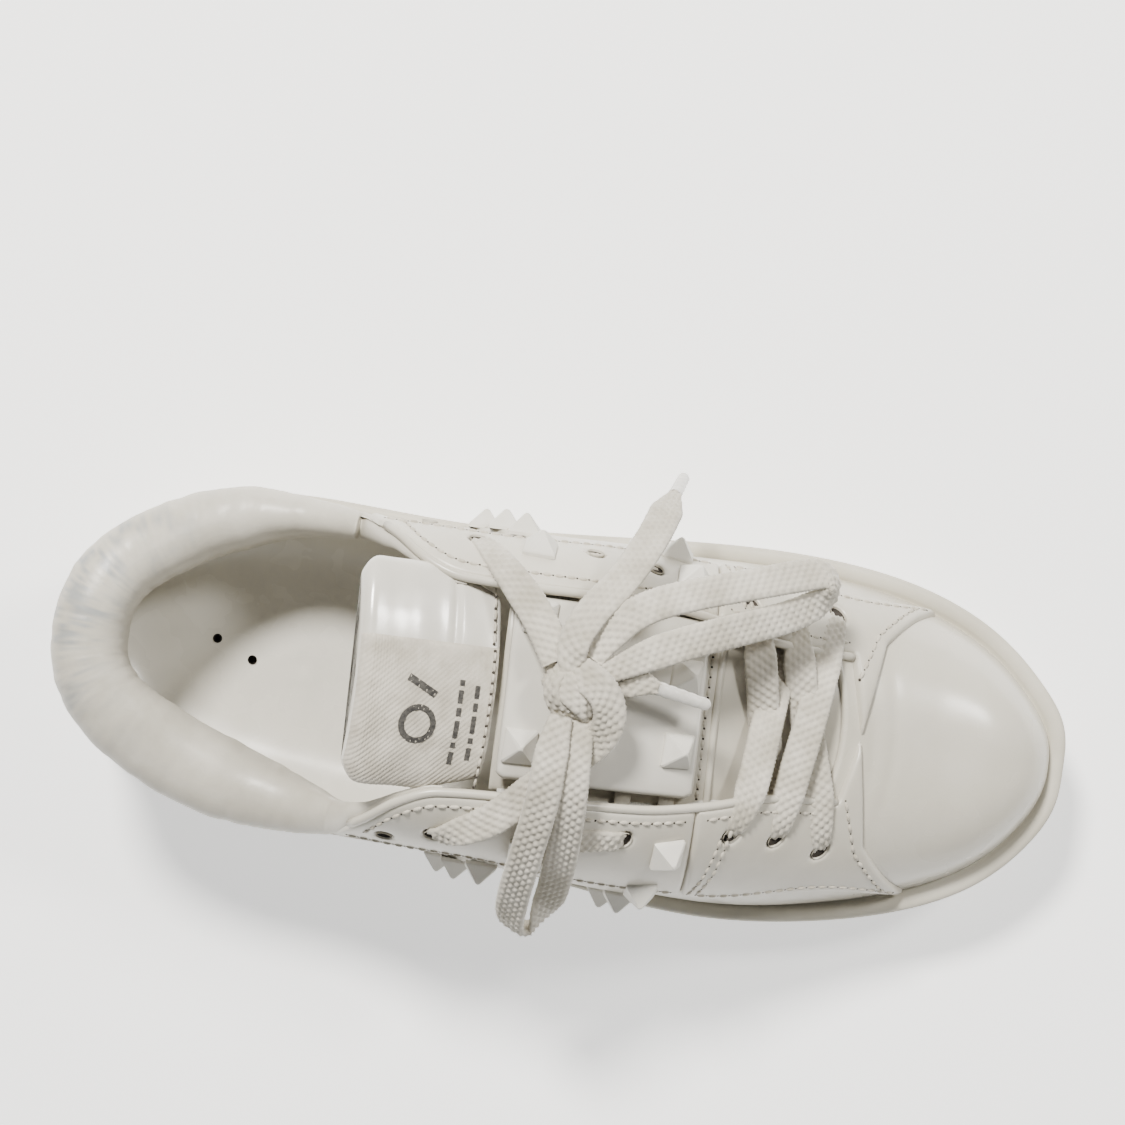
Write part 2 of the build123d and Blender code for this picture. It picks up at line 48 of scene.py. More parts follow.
DOME_START, DOME_POWER, DOME_FOOT = 262.0, 2.5, 24.0

STATION_X = np.array([4.6, 12, 25, 48, 78, 112, 150, 190, 224, 250, 268, 281, 287.4])
RIDGE = np.array([3.5, 3.5, 3, 2.5, 2, 1.5, 1.5, 1, 0, -1.5, -2, -2.5, -2.5])
CROWN = np.array([104, 106, 106, 105, 104, 103, 99, 82, 62, 54, 51.5, 50, 49])
BOXY = np.array([4, 4, 4, 4, 3.8, 3.6, 3.5, 3, 2.7, 2.6, 2.6, 2.6, 2.6])
FLARE = np.array([0, 0, 0, 1.5, 2.5, 5, 3, 0, 0, 0, 0, 0, 0])
OUTLINE = np.array([
    (4.6, 3.5), (5.4, 12), (12, 26.5), (25, 37), (48, 45), (78, 45.5), (112, 43.5), (150, 44.5),
    (190, 46.5), (224, 45), (250, 39), (268, 29.5), (281, 17), (286.6, 8), (287.4, -2.5),
    (286.6, -12), (281, -23), (268, -36), (250, -45), (224, -51.5), (190, -54), (150, -49),
    (112, -44.5), (78, -42.5), (48, -38), (25, -29), (12, -18.5), (5.4, -5)], float)

THROAT_X = np.array([84, 95, 104, 115, 140, 168, 186, 201, 221], float)
THROAT_GAP = np.array([43, 38, 32, 28, 27.3, 27, 24.6, 21.2, 20], float)
THROAT_CENTRE = 1.5
TOP_X = np.array([-12, 4, 20, 42, 62, 78, 88, 94, 97], float)
TOP_Z = np.array([79, 78.5, 74, 66, 64, 70, 82, 100, 130], float)
WING_X = np.array([84, 92, 120, 150, 183, 218, 238, 250], float)
WING_Z = np.array([70, 77, 77, 70, 58, 47, 38, 30], float)
EYES = {"lateral": ((221, -32.5), (207.5, -30), (194.5, -30), (165, -34), (145.5, -36.5),
                    (114.5, -38), (101.5, -40)),
        "medial": ((218.5, 32.5), (206, 31), (193, 32), (165.5, 38), (149, 40), (117, 40),
                   (103, 43.5))}
SIGN = {"lateral": -1, "medial": 1}


def toe_rise(x):
    return np.maximum(0.0, np.asarray(x, float) - SPRING_START) ** 2 / (2 * SPRING_RADIUS)


def unit(vectors):
    vectors = np.asarray(vectors, float)
    return vectors / np.maximum(np.linalg.norm(vectors, axis=-1), 1e-9)[..., None]


def lengths(points):
    """The distance along a line of points, at each of them."""
    return np.concatenate([[0], np.cumsum(np.linalg.norm(np.diff(points, axis=0), axis=1))])


@np.vectorize
def ripple(x, y, seed):
    return noise.noise(Vector((x, y, seed)))


def hermite(xs, ys):
    """A smooth curve through the points that doesn't overshoot them."""
    d = np.diff(ys) / np.diff(xs)
    m = np.concatenate([[d[0]], (d[1:] + d[:-1]) / 2, [d[-1]]])
    for i, slope in enumerate(d):
        if slope == 0:
            m[i] = m[i + 1] = 0
        else:
            a, b = m[i] / slope, m[i + 1] / slope
            big = math.hypot(a, b)
            if big > 3:
                m[i], m[i + 1] = 3 * a / big * slope, 3 * b / big * slope

    def value(x):
        x = np.clip(np.asarray(x, float), xs[0], xs[-1])
        i = np.clip(np.searchsorted(xs, x) - 1, 0, len(xs) - 2)
        h = xs[i + 1] - xs[i]
        t = (x - xs[i]) / h
        return (ys[i] * (1 + 2 * t) * (1 - t) ** 2 + ys[i + 1] * t * t * (3 - 2 * t)
                + h * (m[i] * t * (1 - t) ** 2 - m[i + 1] * t * t * (1 - t)))
    return value


ridge, crown_line = hermite(STATION_X, RIDGE), hermite(STATION_X, CROWN)
boxy, flare = hermite(STATION_X, BOXY), hermite(STATION_X, FLARE)
throat_gap, topline = hermite(THROAT_X, THROAT_GAP), hermite(TOP_X, TOP_Z)
wing_line = hermite(WING_X, WING_Z)


def crown(x):
    x = np.asarray(x, float)
    foot = DOME_FOOT + toe_rise(x)
    part = np.clip((x - DOME_START) / (TIP_X - DOME_START), 0, 1)
    dome = (1 - part ** DOME_POWER) ** (1 / DOME_POWER)
    return foot + (crown_line(x) - foot) * dome


def closed_spline(points, count):
    """Points along a smooth closed curve through the given ones, evenly spaced."""
    n = len(points)
    t = np.concatenate([[0], np.cumsum(np.linalg.norm(np.roll(points, -1, 0) - points, axis=1))])
    h = np.diff(t)
    a = np.zeros((n, n))
    b = np.zeros((n, points.shape[1]))
    for i in range(n):
        before, after = (i - 1) % n, (i + 1) % n
        a[i, before], a[i, i], a[i, after] = h[i], 2 * (h[i] + h[before]), h[before]
        b[i] = 3 * (h[before] * (points[after] - points[i]) / h[i]
                    + h[i] * (points[i] - points[before]) / h[before])
    m = np.linalg.solve(a, b)
    fine = np.linspace(0, t[-1], 6000, endpoint=False)
    i = np.clip(np.searchsorted(t, fine, "right") - 1, 0, n - 1)
    u = ((fine - t[i]) / h[i])[:, None]
    j, hh = (i + 1) % n, h[i][:, None]
    curve = (points[i] * (1 + 2 * u) * (1 - u) ** 2 + points[j] * u * u * (3 - 2 * u)
             + hh * (m[i] * u * (1 - u) ** 2 - m[j] * u * u * (1 - u)))
    steps = np.linalg.norm(np.roll(curve, -1, 0) - curve, axis=1)
    along = np.concatenate([[0], np.cumsum(steps)])
    even = np.linspace(0, along[-1], count, endpoint=False)
    loop = np.vstack([curve, curve[:1]])
    return np.stack([np.interp(even, along, loop[:, k]) for k in range(2)], 1), along[-1]


ROUND = 2400
outline_xy, OUTLINE_LENGTH = closed_spline(OUTLINE, ROUND)
outline_s = np.arange(ROUND + 1) * OUTLINE_LENGTH / ROUND
outline_ring = np.vstack([outline_xy, outline_xy[:1]])
TIP_S = outline_s[int(np.argmax(outline_xy[:, 0]))]
tangent = np.roll(outline_xy, -1, 0) - np.roll(outline_xy, 1, 0)
tangent /= np.linalg.norm(tangent, axis=1)[:, None]
# The outline runs from the heel along the inner side, so its left-hand side is outward.
outward = np.stack([-tangent[:, 1], tangent[:, 0]], 1)
if outward[np.argmax(outline_xy[:, 0])][0] < 0:
    outward = -outward
outward_ring = np.vstack([outward, outward[:1]])


def outline(s):
    s = np.mod(s, OUTLINE_LENGTH)
    return np.interp(s, outline_s, outline_ring[:, 0]), np.interp(s, outline_s, outline_ring[:, 1])


def plan_normal(s):
    s = np.mod(s, OUTLINE_LENGTH)
    n = np.stack([np.interp(s, outline_s, outward_ring[:, k]) for k in range(2)], -1)
    return n / np.linalg.norm(n, axis=-1)[..., None]


def section(x, reach, theta):
    """Distance from the ridge and height on the upper's section at x; theta 0 is its base."""
    n = boxy(x)
    rise, out = np.sin(theta) ** (2 / n), np.maximum(np.cos(theta), 0) ** (2 / n)
    base = 10 + toe_rise(x)
    return out * (reach + flare(x) * rise), base + rise * (crown(x) - base)


def climb(out, z):
    """The distance up a section, at each of its points."""
    return np.concatenate([[0], np.cumsum(np.hypot(np.diff(out), np.diff(z)))])


V_STEP, V_MAX = 0.5, 175.0
TABLE_ROWS = 900
table_s = np.linspace(0, OUTLINE_LENGTH, TABLE_ROWS)
table_v = np.arange(0, V_MAX, V_STEP)
theta_fine = (np.linspace(0, 1, 400) ** 1.6) * math.pi / 2
theta_table = np.zeros((TABLE_ROWS, len(table_v)))
for row, s in enumerate(table_s):
    x, y = outline(s)
    out, z = section(x, abs(y - ridge(x)), theta_fine)
    v = climb(out, z)
    theta_table[row] = np.interp(table_v, v, theta_fine)


def skin(s, v, lift=0.0):
    """The upper's skin at s along the outline and v up its wall, and lift out from it, in mm."""
    s, v = np.asarray(s, float), np.asarray(v, float)

    def bare(s, v):
        sm = np.mod(s, OUTLINE_LENGTH)
        fs = sm / (OUTLINE_LENGTH / (TABLE_ROWS - 1))
        i = np.clip(fs.astype(int), 0, TABLE_ROWS - 2)
        fv = np.clip(v, 0, V_MAX - 2 * V_STEP) / V_STEP
        j = fv.astype(int)
        a, b = fs - i, fv - j
        theta = ((1 - a) * (1 - b) * theta_table[i, j] + a * (1 - b) * theta_table[i + 1, j]
                 + (1 - a) * b * theta_table[i, j + 1] + a * b * theta_table[i + 1, j + 1])
        x, y = outline(sm)
        out, z = section(x, np.abs(y - ridge(x)), theta)
        return np.stack([x, ridge(x) + np.sign(y - ridge(x)) * out, z], -1)

    p = bare(s, v)
    e = 0.8
    ds = bare(s + e, v) - bare(s - e, v)
    dv = bare(s, v + e) - bare(s, np.maximum(v - e, 0))
    n = unit(np.cross(ds, dv))
    flat = np.zeros(p.shape[:-1])
    centre = np.stack([np.clip(p[..., 0], 45, 245), flat, flat + 35], -1)
    flip = np.sum(n * (p - centre), -1) < 0
    n = np.where(flip[..., None], -n, n)
    return p + n * np.asarray(lift)[..., None], n


def s_of(side, x):
    """Where the outline passes x on one side."""
    ss = np.linspace(0, TIP_S, 1500) if side == "medial" else np.linspace(OUTLINE_LENGTH, TIP_S, 1500)
    xs = outline(ss)[0]
    s = np.interp(x, xs, ss)
    return s if side == "medial" else s - OUTLINE_LENGTH


def wall(side, x):
    """The section at x on one side: its s and x, and the reach, height and v along it."""
    s = float(s_of(side, x))
    ox, oy = outline(s)
    out, z = section(ox, abs(oy - ridge(ox)), theta_fine)
    return s, ox, out, z, climb(out, z)


def spot(side, x, z=None, y=None):
    """(s, v) of the point of the skin at x on one side, at a height z or a distance y."""
    s, ox, out, zz, v = wall(side, x)
    if z is not None:
        return s, float(np.interp(z, zz, v))
    gap = abs(y - float(ridge(ox)))
    peak = int(np.argmax(out))
    return s, float(np.interp(-gap, -out[peak:], v[peak:]))


# ---- Materials ------------------------------------------------------------------------------
COAT_ROUGH, ROUGH_SPAN = 0.25, 0.08


def material(name, dark, light, rough, patch, bumps=(), coat=0.0, sheen=0.0, wear=None,
             through=0.0, specular=0.5):
    """A procedural finish: two mottled tones, mottled roughness, and layers of bump as
    (kind, scale, strength, distance in mm). wear is a third tone, by the wear layer."""
    m = bpy.data.materials.new(name)
    m.use_nodes = True
    tree = m.node_tree
    tree.nodes.clear()
    link = tree.links.new

    def add(kind, **values):
        node = tree.nodes.new("ShaderNode" + kind)
        for key, value in values.items():
            node.inputs[key.replace("_", " ")].default_value = value
        return node

    place = add("TexCoord").outputs["Object"]

    def texture(kind, **values):
        node = add(kind, **values)
        link(place, node.inputs["Vector"])
        return node

    shader = add("BsdfPrincipled", Coat_Weight=coat, Coat_Roughness=COAT_ROUGH, Sheen_Weight=sheen,
                 Transmission_Weight=through, Specular_IOR_Level=specular)
    link(shader.outputs[0], add("OutputMaterial").inputs[0])
    mottle = texture("TexNoise", Scale=patch, Detail=6.0, Roughness=0.6)
    tones = add("ValToRGB")
    for element, position, tone in zip(tones.color_ramp.elements, (0.35, 0.65), (dark, light)):
        element.position, element.color = position, (*tone, 1)
    link(mottle.outputs["Fac"], tones.inputs["Fac"])
    colour = tones.outputs["Color"]
    if wear:
        layer = add("Attribute")
        layer.attribute_name = "wear"
        mix = add("Mix")
        mix.data_type = "RGBA"
        link(layer.outputs["Fac"], mix.inputs[0])
        link(colour, mix.inputs[6])
        mix.inputs[7].default_value = (*wear, 1)
        colour = mix.outputs[2]
    link(colour, shader.inputs["Base Color"])
    gloss = add("MapRange", To_Min=rough - ROUGH_SPAN, To_Max=rough + ROUGH_SPAN)
    link(texture("TexNoise", Scale=patch * 4).outputs["Fac"], gloss.inputs["Value"])
    link(gloss.outputs["Result"], shader.inputs["Roughness"])
    before = None
    for kind, scale, strength, distance in bumps:
        if kind == "grain":
            height = texture("TexVoronoi", Scale=scale).outputs["Distance"]
        elif kind == "noise":
            height = texture("TexNoise", Scale=scale, Detail=4.0).outputs["Fac"]
        else:
            wave = texture("TexWave", Scale=scale, Distortion=0.4)
            wave.bands_direction = kind
            height = wave.outputs["Fac"]
        bump = add("Bump", Strength=strength, Distance=distance / 1000)
        link(height, bump.inputs["Height"])
        if before:
            link(before.outputs["Normal"], bump.inputs["Normal"])
        before = bump
    if before:
        link(before.outputs["Normal"], shader.inputs["Normal"])
    return m


GRAIN = (("grain", 1100, 0.10, 0.10), ("noise", 260, 0.12, 0.25))
leather = material("leather_smooth", (0.50, 0.468, 0.39), (0.585, 0.555, 0.475), 0.32, 26,
                   GRAIN, coat=0.15)
overlay_leather = material("leather_overlay", (0.52, 0.488, 0.41), (0.605, 0.575, 0.495), 0.34, 34,
                           GRAIN, coat=0.12)
toe_leather = material("leather_toe", (0.54, 0.508, 0.425), (0.615, 0.585, 0.505), 0.27, 18,
                       (("grain", 900, 0.05, 0.08), ("noise", 90, 0.10, 0.5)), coat=0.25)
collar_leather = material("leather_collar", (0.48, 0.452, 0.38), (0.57, 0.54, 0.465), 0.40, 60,
                          (("grain", 800, 0.16, 0.14), ("noise", 180, 0.22, 0.4)),
                          wear=(0.27, 0.29, 0.30))
patent = material("leather_shiny", (0.60, 0.575, 0.505), (0.68, 0.655, 0.59), 0.18, 30,
                  (("noise", 120, 0.14, 0.4),), coat=0.5)
insole_leather = material("insole_leather", (0.66, 0.635, 0.56), (0.74, 0.715, 0.64), 0.27, 22,
                          (("grain", 1400, 0.05, 0.06), ("noise", 70, 0.16, 0.5)), coat=0.3)
rubber = material("cupsole_rubber", (0.52, 0.488, 0.40), (0.60, 0.568, 0.48), 0.5, 40,
                  (("noise", 700, 0.10, 0.10), ("noise", 60, 0.08, 0.4)), specular=0.4)
knit = material("lining_knit", (0.52, 0.50, 0.45), (0.62, 0.60, 0.55), 0.8, 50,
                (("X", 420, 0.35, 0.2), ("Z", 420, 0.35, 0.2)), sheen=0.3)
foam_finish = material("padding_foam", (0.62, 0.60, 0.54), (0.70, 0.68, 0.62), 0.85, 90,
                       (("grain", 900, 0.5, 0.3),))
board_finish = material("fibre_board", (0.46, 0.40, 0.31), (0.56, 0.49, 0.38), 0.85, 120,
                        (("noise", 900, 0.4, 0.2),))
stud_finish = material("stud_matte", (0.64, 0.615, 0.55), (0.71, 0.69, 0.625), 0.46, 80,
                       (("noise", 900, 0.06, 0.06),))
lace_finish = material("lace_braid", (0.41, 0.38, 0.31), (0.58, 0.545, 0.47), 0.82, 90,
                       (("noise", 1500, 0.5, 0.15),), sheen=0.35, specular=0.25)
thread_finish = material("thread", (0.40, 0.365, 0.29), (0.60, 0.56, 0.475), 0.7, 300,
                         (("noise", 3000, 0.6, 0.1),), sheen=0.2)
# Painted shade: a near-black colour for the insides of eyelets, needle holes and perforations, where only
# shade falls.
painted_hole_shade = material("shadow_hole", (0.035, 0.03, 0.025), (0.06, 0.05, 0.04), 0.9, 300)
ecru = material("label_twill", (0.42, 0.385, 0.315), (0.57, 0.53, 0.45), 0.85, 160,
                (("noise", 1800, 0.5, 0.12),), sheen=0.3)
ink = material("label_ink", (0.03, 0.028, 0.026), (0.09, 0.085, 0.075), 0.8, 900,
               (("noise", 2200, 0.4, 0.1),))
clear_film = material("aglet_film", (0.66, 0.64, 0.58), (0.78, 0.76, 0.71), 0.22, 400,
                      (("noise", 900, 0.3, 0.15),), coat=0.6, through=0.12)


# ---- Meshes ---------------------------------------------------------------------------------
def to_row(points):
    points = np.asarray(points, float).reshape(-1, 3)
    return (points - (MIDDLE, 0, 0)) / 1000


def build(name, points, faces, finish, body="shoe", hides=(), slot=None, finishes=None, wear=None,
          smooth=True):
    """A piece from points in millimetres. finishes gives a material number for each face."""
    mesh = bpy.data.meshes.new(name)
    mesh.from_pydata(to_row(points).tolist(), [], [list(map(int, f)) for f in faces])
    for m in finish if isinstance(finish, (list, tuple)) else [finish]:
        mesh.materials.append(m)
    if finishes is not None:
        mesh.polygons.foreach_set("material_index", np.asarray(finishes, np.int32))
    mesh.polygons.foreach_set("use_smooth", [smooth] * len(mesh.polygons))
    if wear is not None:
        layer = mesh.attributes.new("wear", "FLOAT", "POINT")
        layer.data.foreach_set("value", np.asarray(wear, np.float32))
    mesh.validate()
    mesh.update()
    piece = bpy.data.objects.new(name, mesh)
    bpy.context.scene.collection.objects.link(piece)
    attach(piece, body)
    if hides:
        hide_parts(*hides)
    return piece


def grid_faces(rows, columns, close_rows=False, close_columns=False, flip=False):
    """Quads of a grid of points stored row by row."""
    i, j = np.meshgrid(np.arange(rows - (not close_rows)), np.arange(columns - (not close_columns)),
                       indexing="ij")
    i2, j2 = (i + 1) % rows, (j + 1) % columns
    f = np.stack([i * columns + j, i2 * columns + j, i2 * columns + j2, i * columns + j2], -1)
    f = f.reshape(-1, 4)
    return f[:, ::-1] if flip else f


def capped(rows, around, flip=False):
    """Faces of a closed tube stored ring by ring, with its two ends."""
    first, last = list(range(around)), [(rows - 1) * around + k for k in range(around)]
    (first if flip else last).reverse()
    return [list(f) for f in grid_faces(rows, around, close_columns=True)] + [first, last]


def add_well(points, faces, rings):
    """Walls between closed rings of points, in turn, and a face on the last ring."""
    start, n = len(points), len(rings[0])
    for ring in rings:
        points += [tuple(p) for p in ring]
    for low in range(start, start + (len(rings) - 1) * n, n):
        faces += [[low + k, low + (k + 1) % n, low + n + (k + 1) % n, low + n + k] for k in range(n)]
    faces.append([start + (len(rings) - 1) * n + k for k in range(n)])


def resample(points, step, closed=False):
    points = np.asarray(points, float)
    if closed:
        points = np.vstack([points, points[:1]])
    d = lengths(points)
    count = max(3, int(round(d[-1] / step)))
    at = np.linspace(0, d[-1], count + 1)
    if closed:
        at = at[:-1]
    return np.stack([np.interp(at, d, points[:, k]) for k in range(points.shape[1])], 1)


def inside(points, loop):
    """Which points are inside a closed loop."""
    x, y = points[:, 0], points[:, 1]
    result = np.zeros(len(points), bool)
    for a, b in zip(loop, np.roll(loop, -1, 0)):
        crosses = (a[1] > y) != (b[1] > y)
        with np.errstate(divide="ignore", invalid="ignore"):
            at = a[0] + (y - a[1]) / (b[1] - a[1]) * (b[0] - a[0])
        result ^= crosses & (x < at)
    return result


def edge_distance(points, loop):
    """Distance from each point to a closed loop."""
    best = np.full(len(points), 1e9)
    for a, b in zip(loop, np.roll(loop, -1, 0)):
        d = b - a
        t = np.clip(((points - a) @ d) / max(d @ d, 1e-12), 0, 1)
        best = np.minimum(best, np.linalg.norm(points - (a + t[:, None] * d), axis=1))
    return best


def fill(loop, holes=(), spacing=2.4, step=1.3, rings=(0.4, 0.9, 1.6)):
    """Triangles over a flat region, finer at its edges: points, faces and edge distances."""
    loop = resample(loop, step, True)
    loops = [loop] + [np.asarray(h, float) for h in holes]
    extra = []
    for ring in loops:
        along = unit(np.roll(ring, -1, 0) - np.roll(ring, 1, 0))
        normal = np.stack([-along[:, 1], along[:, 0]], 1)
        for d in rings:
            extra += [ring + normal * d, ring - normal * d]
    low, high = loop.min(0), loop.max(0)
    xs = np.arange(low[0], high[0], spacing)
    ys = np.arange(low[1], high[1], spacing * 0.866)
    gx, gy = np.meshgrid(xs, ys)
    gx = gx + (np.arange(len(ys)) % 2)[:, None] * spacing / 2
    middle = np.stack([gx.ravel(), gy.ravel()], 1)

    def far(points):
        return np.min([edge_distance(points, ring) for ring in loops], axis=0)

    def within(points):
        keep = inside(points, loop)
        for hole in loops[1:]:
            keep &= ~inside(points, hole)
        return keep
    kept = []
    for k, points in enumerate(extra):
        d = rings[(k // 2) % len(rings)]
        points = points[within(points)]
        kept.append(points[far(points) > 0.88 * d])
    middle = middle[within(middle)]
    kept.append(middle[far(middle) > rings[-1] + 0.6])
    corners = np.vstack(loops)
    points = np.vstack([corners] + kept)
    edges, start = [], 0
    for ring in loops:
        n = len(ring)
        edges += [(start + i, start + (i + 1) % n) for i in range(n)]
        start += n
    made = delaunay_2d_cdt([Vector(p) for p in points], edges, [], 0, 1e-5)
    points = np.array([tuple(p) for p in made[0]])
    faces = np.array([f for f in made[2] if len(f) == 3])
    centres = points[faces].mean(1)
    faces = faces[within(centres)]
    used = np.unique(faces)
    number = -np.ones(len(points), int)
    number[used] = np.arange(len(used))
    points, faces = points[used], number[faces]
    a, b, c = (points[faces[:, k]] for k in range(3))
    turned = (b[:, 0] - a[:, 0]) * (c[:, 1] - a[:, 1]) - (b[:, 1] - a[:, 1]) * (c[:, 0] - a[:, 0]) < 0
    faces[turned] = faces[turned][:, ::-1]
    return points, faces, far(points)


def bulge(distance, height, edge):
    """The height of a sheet with a rounded edge, at a distance from that edge."""
    part = 1 - np.clip(distance / edge, 0, 1)
    return height * np.sqrt(np.maximum(0, 1 - part * part))


def crease(points):
    """Folds and soft waves of worn leather, as a height over the skin."""
    x, y, z = points[:, 0], points[:, 1], points[:, 2]
    total = np.zeros(len(points))
    for x0, lean, width, depth, low, high in (
            (219, 0.30, 1.6, 0.55, 34, 62), (226, 0.22, 1.3, 0.4, 32, 58), (211, 0.36, 1.8, 0.5, 34, 60),
            (203, 0.3, 1.5, 0.3, 36, 62), (233, 0.12, 1.2, 0.3, 32, 50), (196, 0.2, 2.0, 0.3, 32, 55)):
        wave = 1.6 * np.sin(z * 0.31 + x0)
        d = (x - x0 + lean * (z - 45) + wave) / width
        window = np.clip((z - low) / 6, 0, 1) * np.clip((high - z) / 8, 0, 1)
        total -= depth * np.exp(-d * d) * window
        total += 0.35 * depth * np.exp(-((d - 2.2) ** 2) / 2) * window
    soft = np.array([noise.noise(Vector(p) * 0.055) for p in points])
    return total + 0.22 * soft


def lay(name, loop, base, height, edge, finish, holes=(), creased=False, **facts):
    """A panel laid on the skin: its outline in (s, v), the lift it starts from and its height."""
    points, faces, distance = fill(loop, holes)
    lift = base + bulge(distance, height, edge)
    flat, _ = skin(points[:, 0], points[:, 1])
    if creased:
        lift = lift + crease(flat)
    solid, _ = skin(points[:, 0], points[:, 1], lift)
    return build(name, solid, faces, finish, **facts)


def eye_loop(side, index, radius=2.3, count=14):
    x, y = EYES[side][index]
    s, v = spot(side, x, y=y)
    a = np.linspace(0, 2 * math.pi, count, endpoint=False)
    return np.stack([s + radius * np.cos(a), v + radius * np.sin(a)], 1)


def line_at(side, pairs):
    """(s, v) points from (x, z) pairs on one side."""
    return [spot(side, x, z=z) for x, z in pairs]


def facing(side, x, ease=0.0):
    """(s, v) on the throat's edge, ease back from it."""
    gap = float(throat_gap(x)) + ease
    return spot(side, x, y=THROAT_CENTRE + SIGN[side] * gap)


def capsules(places, directions, normals, length, radius, sections=6, rings=5):
    """Small rounded rods, one at each place."""
    places, directions, normals = (np.asarray(a, float) for a in (places, directions, normals))
    across = unit(np.cross(normals, directions))
    t = np.linspace(-1, 1, rings)
    width = np.sqrt(np.maximum(0.0, 1 - np.abs(t) ** 2.6))
    a = np.linspace(0, 2 * math.pi, sections, endpoint=False)
    out = []
    for tt, w in zip(t, width):
        for aa in a:
            out.append(places + directions * (tt * length / 2)
                       + (across * math.cos(aa) + normals * math.sin(aa)) * (radius * w))
    points = np.stack(out, 1).reshape(-1, 3)
    one = grid_faces(rings, sections, close_columns=True)
    per = rings * sections
    faces = (one[None] + (np.arange(len(places)) * per)[:, None, None]).reshape(-1, 4)
    return points, faces


def stitches(name, lines, lift, pitch=3.2, thick=0.62, body="shoe", surface=None):
    """Rows of thread along lines of (s, v) points, with a needle hole between each two, drawn as a sunk
    capsule of painted shade.
    """
    surface = surface or skin
    all_points, all_faces, marks, total = [], [], [], 0
    for line in lines:
        fine = resample(line, 0.8)
        solid, normal = surface(fine[:, 0], fine[:, 1], np.full(len(fine), lift))
        d = lengths(solid)
        count = max(1, int(d[-1] / pitch))
        middles = (np.arange(count) + 0.5) * d[-1] / count
        ends = np.arange(count + 1) * d[-1] / count

        def at(w, values):
            return np.stack([np.interp(w, d, values[:, k]) for k in range(3)], 1)

        def way(w):
            return unit(at(np.minimum(w + 0.5, d[-1]), solid) - at(np.maximum(w - 0.5, 0), solid))
        for w, long, round_, sink, mark in ((middles, d[-1] / count * 0.84, thick, 0.06, 0),
                                            (ends, 0.9, 0.46, 0.28, 1)):
            up = at(w, normal)
            points, faces = capsules(at(w, solid) - up * sink, way(w), up, long, round_)
            all_points.append(points)
            all_faces.append(faces + total)
            marks += [mark] * len(faces)
            total += len(points)
    return build(name, np.vstack(all_points), np.vstack(all_faces), [thread_finish, painted_hole_shade],
                 body=body, finishes=marks)


def tube_along(line, radius, sections=10):
    """A closed round tube along points in millimetres."""
    line = np.asarray(line, float)
    t = unit(np.gradient(line, axis=0))
    side = unit(np.cross(t, np.tile((0.0, 0.0, 1.0), (len(line), 1))))
    up = np.cross(side, t)
    radius = np.broadcast_to(radius, (len(line),))
    a = np.linspace(0, 2 * math.pi, sections, endpoint=False)
    rings = line[:, None] + radius[:, None, None] * (
        side[:, None] * np.cos(a)[None, :, None] + up[:, None] * np.sin(a)[None, :, None])
    return rings.reshape(-1, 3), capped(len(line), sections)


# ---- Cup sole -------------------------------------------------------------------------------
LOOP_COUNT = 460
loop_s = np.linspace(0, OUTLINE_LENGTH, LOOP_COUNT, endpoint=False)
loop_x, loop_y = outline(loop_s)
loop_n = plan_normal(loop_s)
CUP_PROFILE = ((-4.5, 25.0), (-1.2, 25.2), (-0.2, 26.0), (0.5, 26.8), (2.6, 27.0), (3.7, 26.85),
               (4.35, 26.3), (4.6, 25.4), (4.62, 22.3), (4.55, 21.9), (3.95, 21.6),
               (3.8, 21.1), (3.95, 20.6), (4.55, 20.3),
               (4.62, 19.8), (4.7, 12.0), (4.62, 3.2), (4.35, 1.3), (3.7, 0.4), (2.6, 0.0),
               (-1.4, 0.0), (-2.0, 0.5), (-2.0, 2.2))
cup_points = []
for x, y, n in zip(loop_x, loop_y, loop_n):
    for offset, z in CUP_PROFILE:
        px, py = x + n[0] * offset, y + n[1] * offset
        cup_points.append((px, py, z + float(toe_rise(px))))
cup_faces = [list(f) for f in grid_faces(LOOP_COUNT, len(CUP_PROFILE), close_rows=True)]


def plan_width(x, offset):
    """The sole's two edges at x, moved outward by offset."""
    px, py = loop_x + loop_n[:, 0] * offset, loop_y + loop_n[:, 1] * offset
    result = []
    for keep in (loop_y < ridge(loop_x), loop_y >= ridge(loop_x)):
        order = np.argsort(px[keep])
        result.append(float(np.interp(x, px[keep][order], py[keep][order])))
    return result


def add_box(points, faces, corners, low, high):
    """A prism on four plan corners; its top and bottom follow the toe's rise."""
    start = len(points)
    for z in (low, high):
        points += [(x, y, z + float(toe_rise(x))) for x, y in corners]
    faces += [[start + k for k in f] for f in ((0, 3, 2, 1), (4, 5, 6, 7), (0, 1, 5, 4),
                                               (1, 2, 6, 5), (2, 3, 7, 6), (3, 0, 4, 7))]


plate, plate_faces, _ = fill(np.stack([loop_x - loop_n[:, 0] * 1.9, loop_y - loop_n[:, 1] * 1.9], 1),
                             spacing=9, step=5, rings=(1.5,))
start = len(cup_points)
cup_points += [(x, y, 2.0 + float(toe_rise(x))) for x, y in plate]
cup_faces += [[start + k for k in f[::-1]] for f in plate_faces]
GROOVE_PITCH, GROOVE_WIDTH = 9.0, 2.2
groove = 14.0
ribs = [[4.0, groove - GROOVE_WIDTH / 2]]
while groove < 278:
    following = groove + GROOVE_PITCH
    if not 128 < groove < 164:
        if 128 < following < 164:
            following = 167.0
        ribs.append([groove + GROOVE_WIDTH / 2, min(following, 288) - GROOVE_WIDTH / 2])
    groove += GROOVE_PITCH
for x0, x1 in ribs:
    cuts = np.linspace(x0, x1, 2 + int((x1 - x0) // 10))
    for a, b in zip(cuts, cuts[1:]):
        (la, ma), (lb, mb) = plan_width(a, -1.8), plan_width(b, -1.8)
        add_box(cup_points, cup_faces, ((a, la), (b, lb), (b, mb), (a, ma)), 0.0, 2.1)
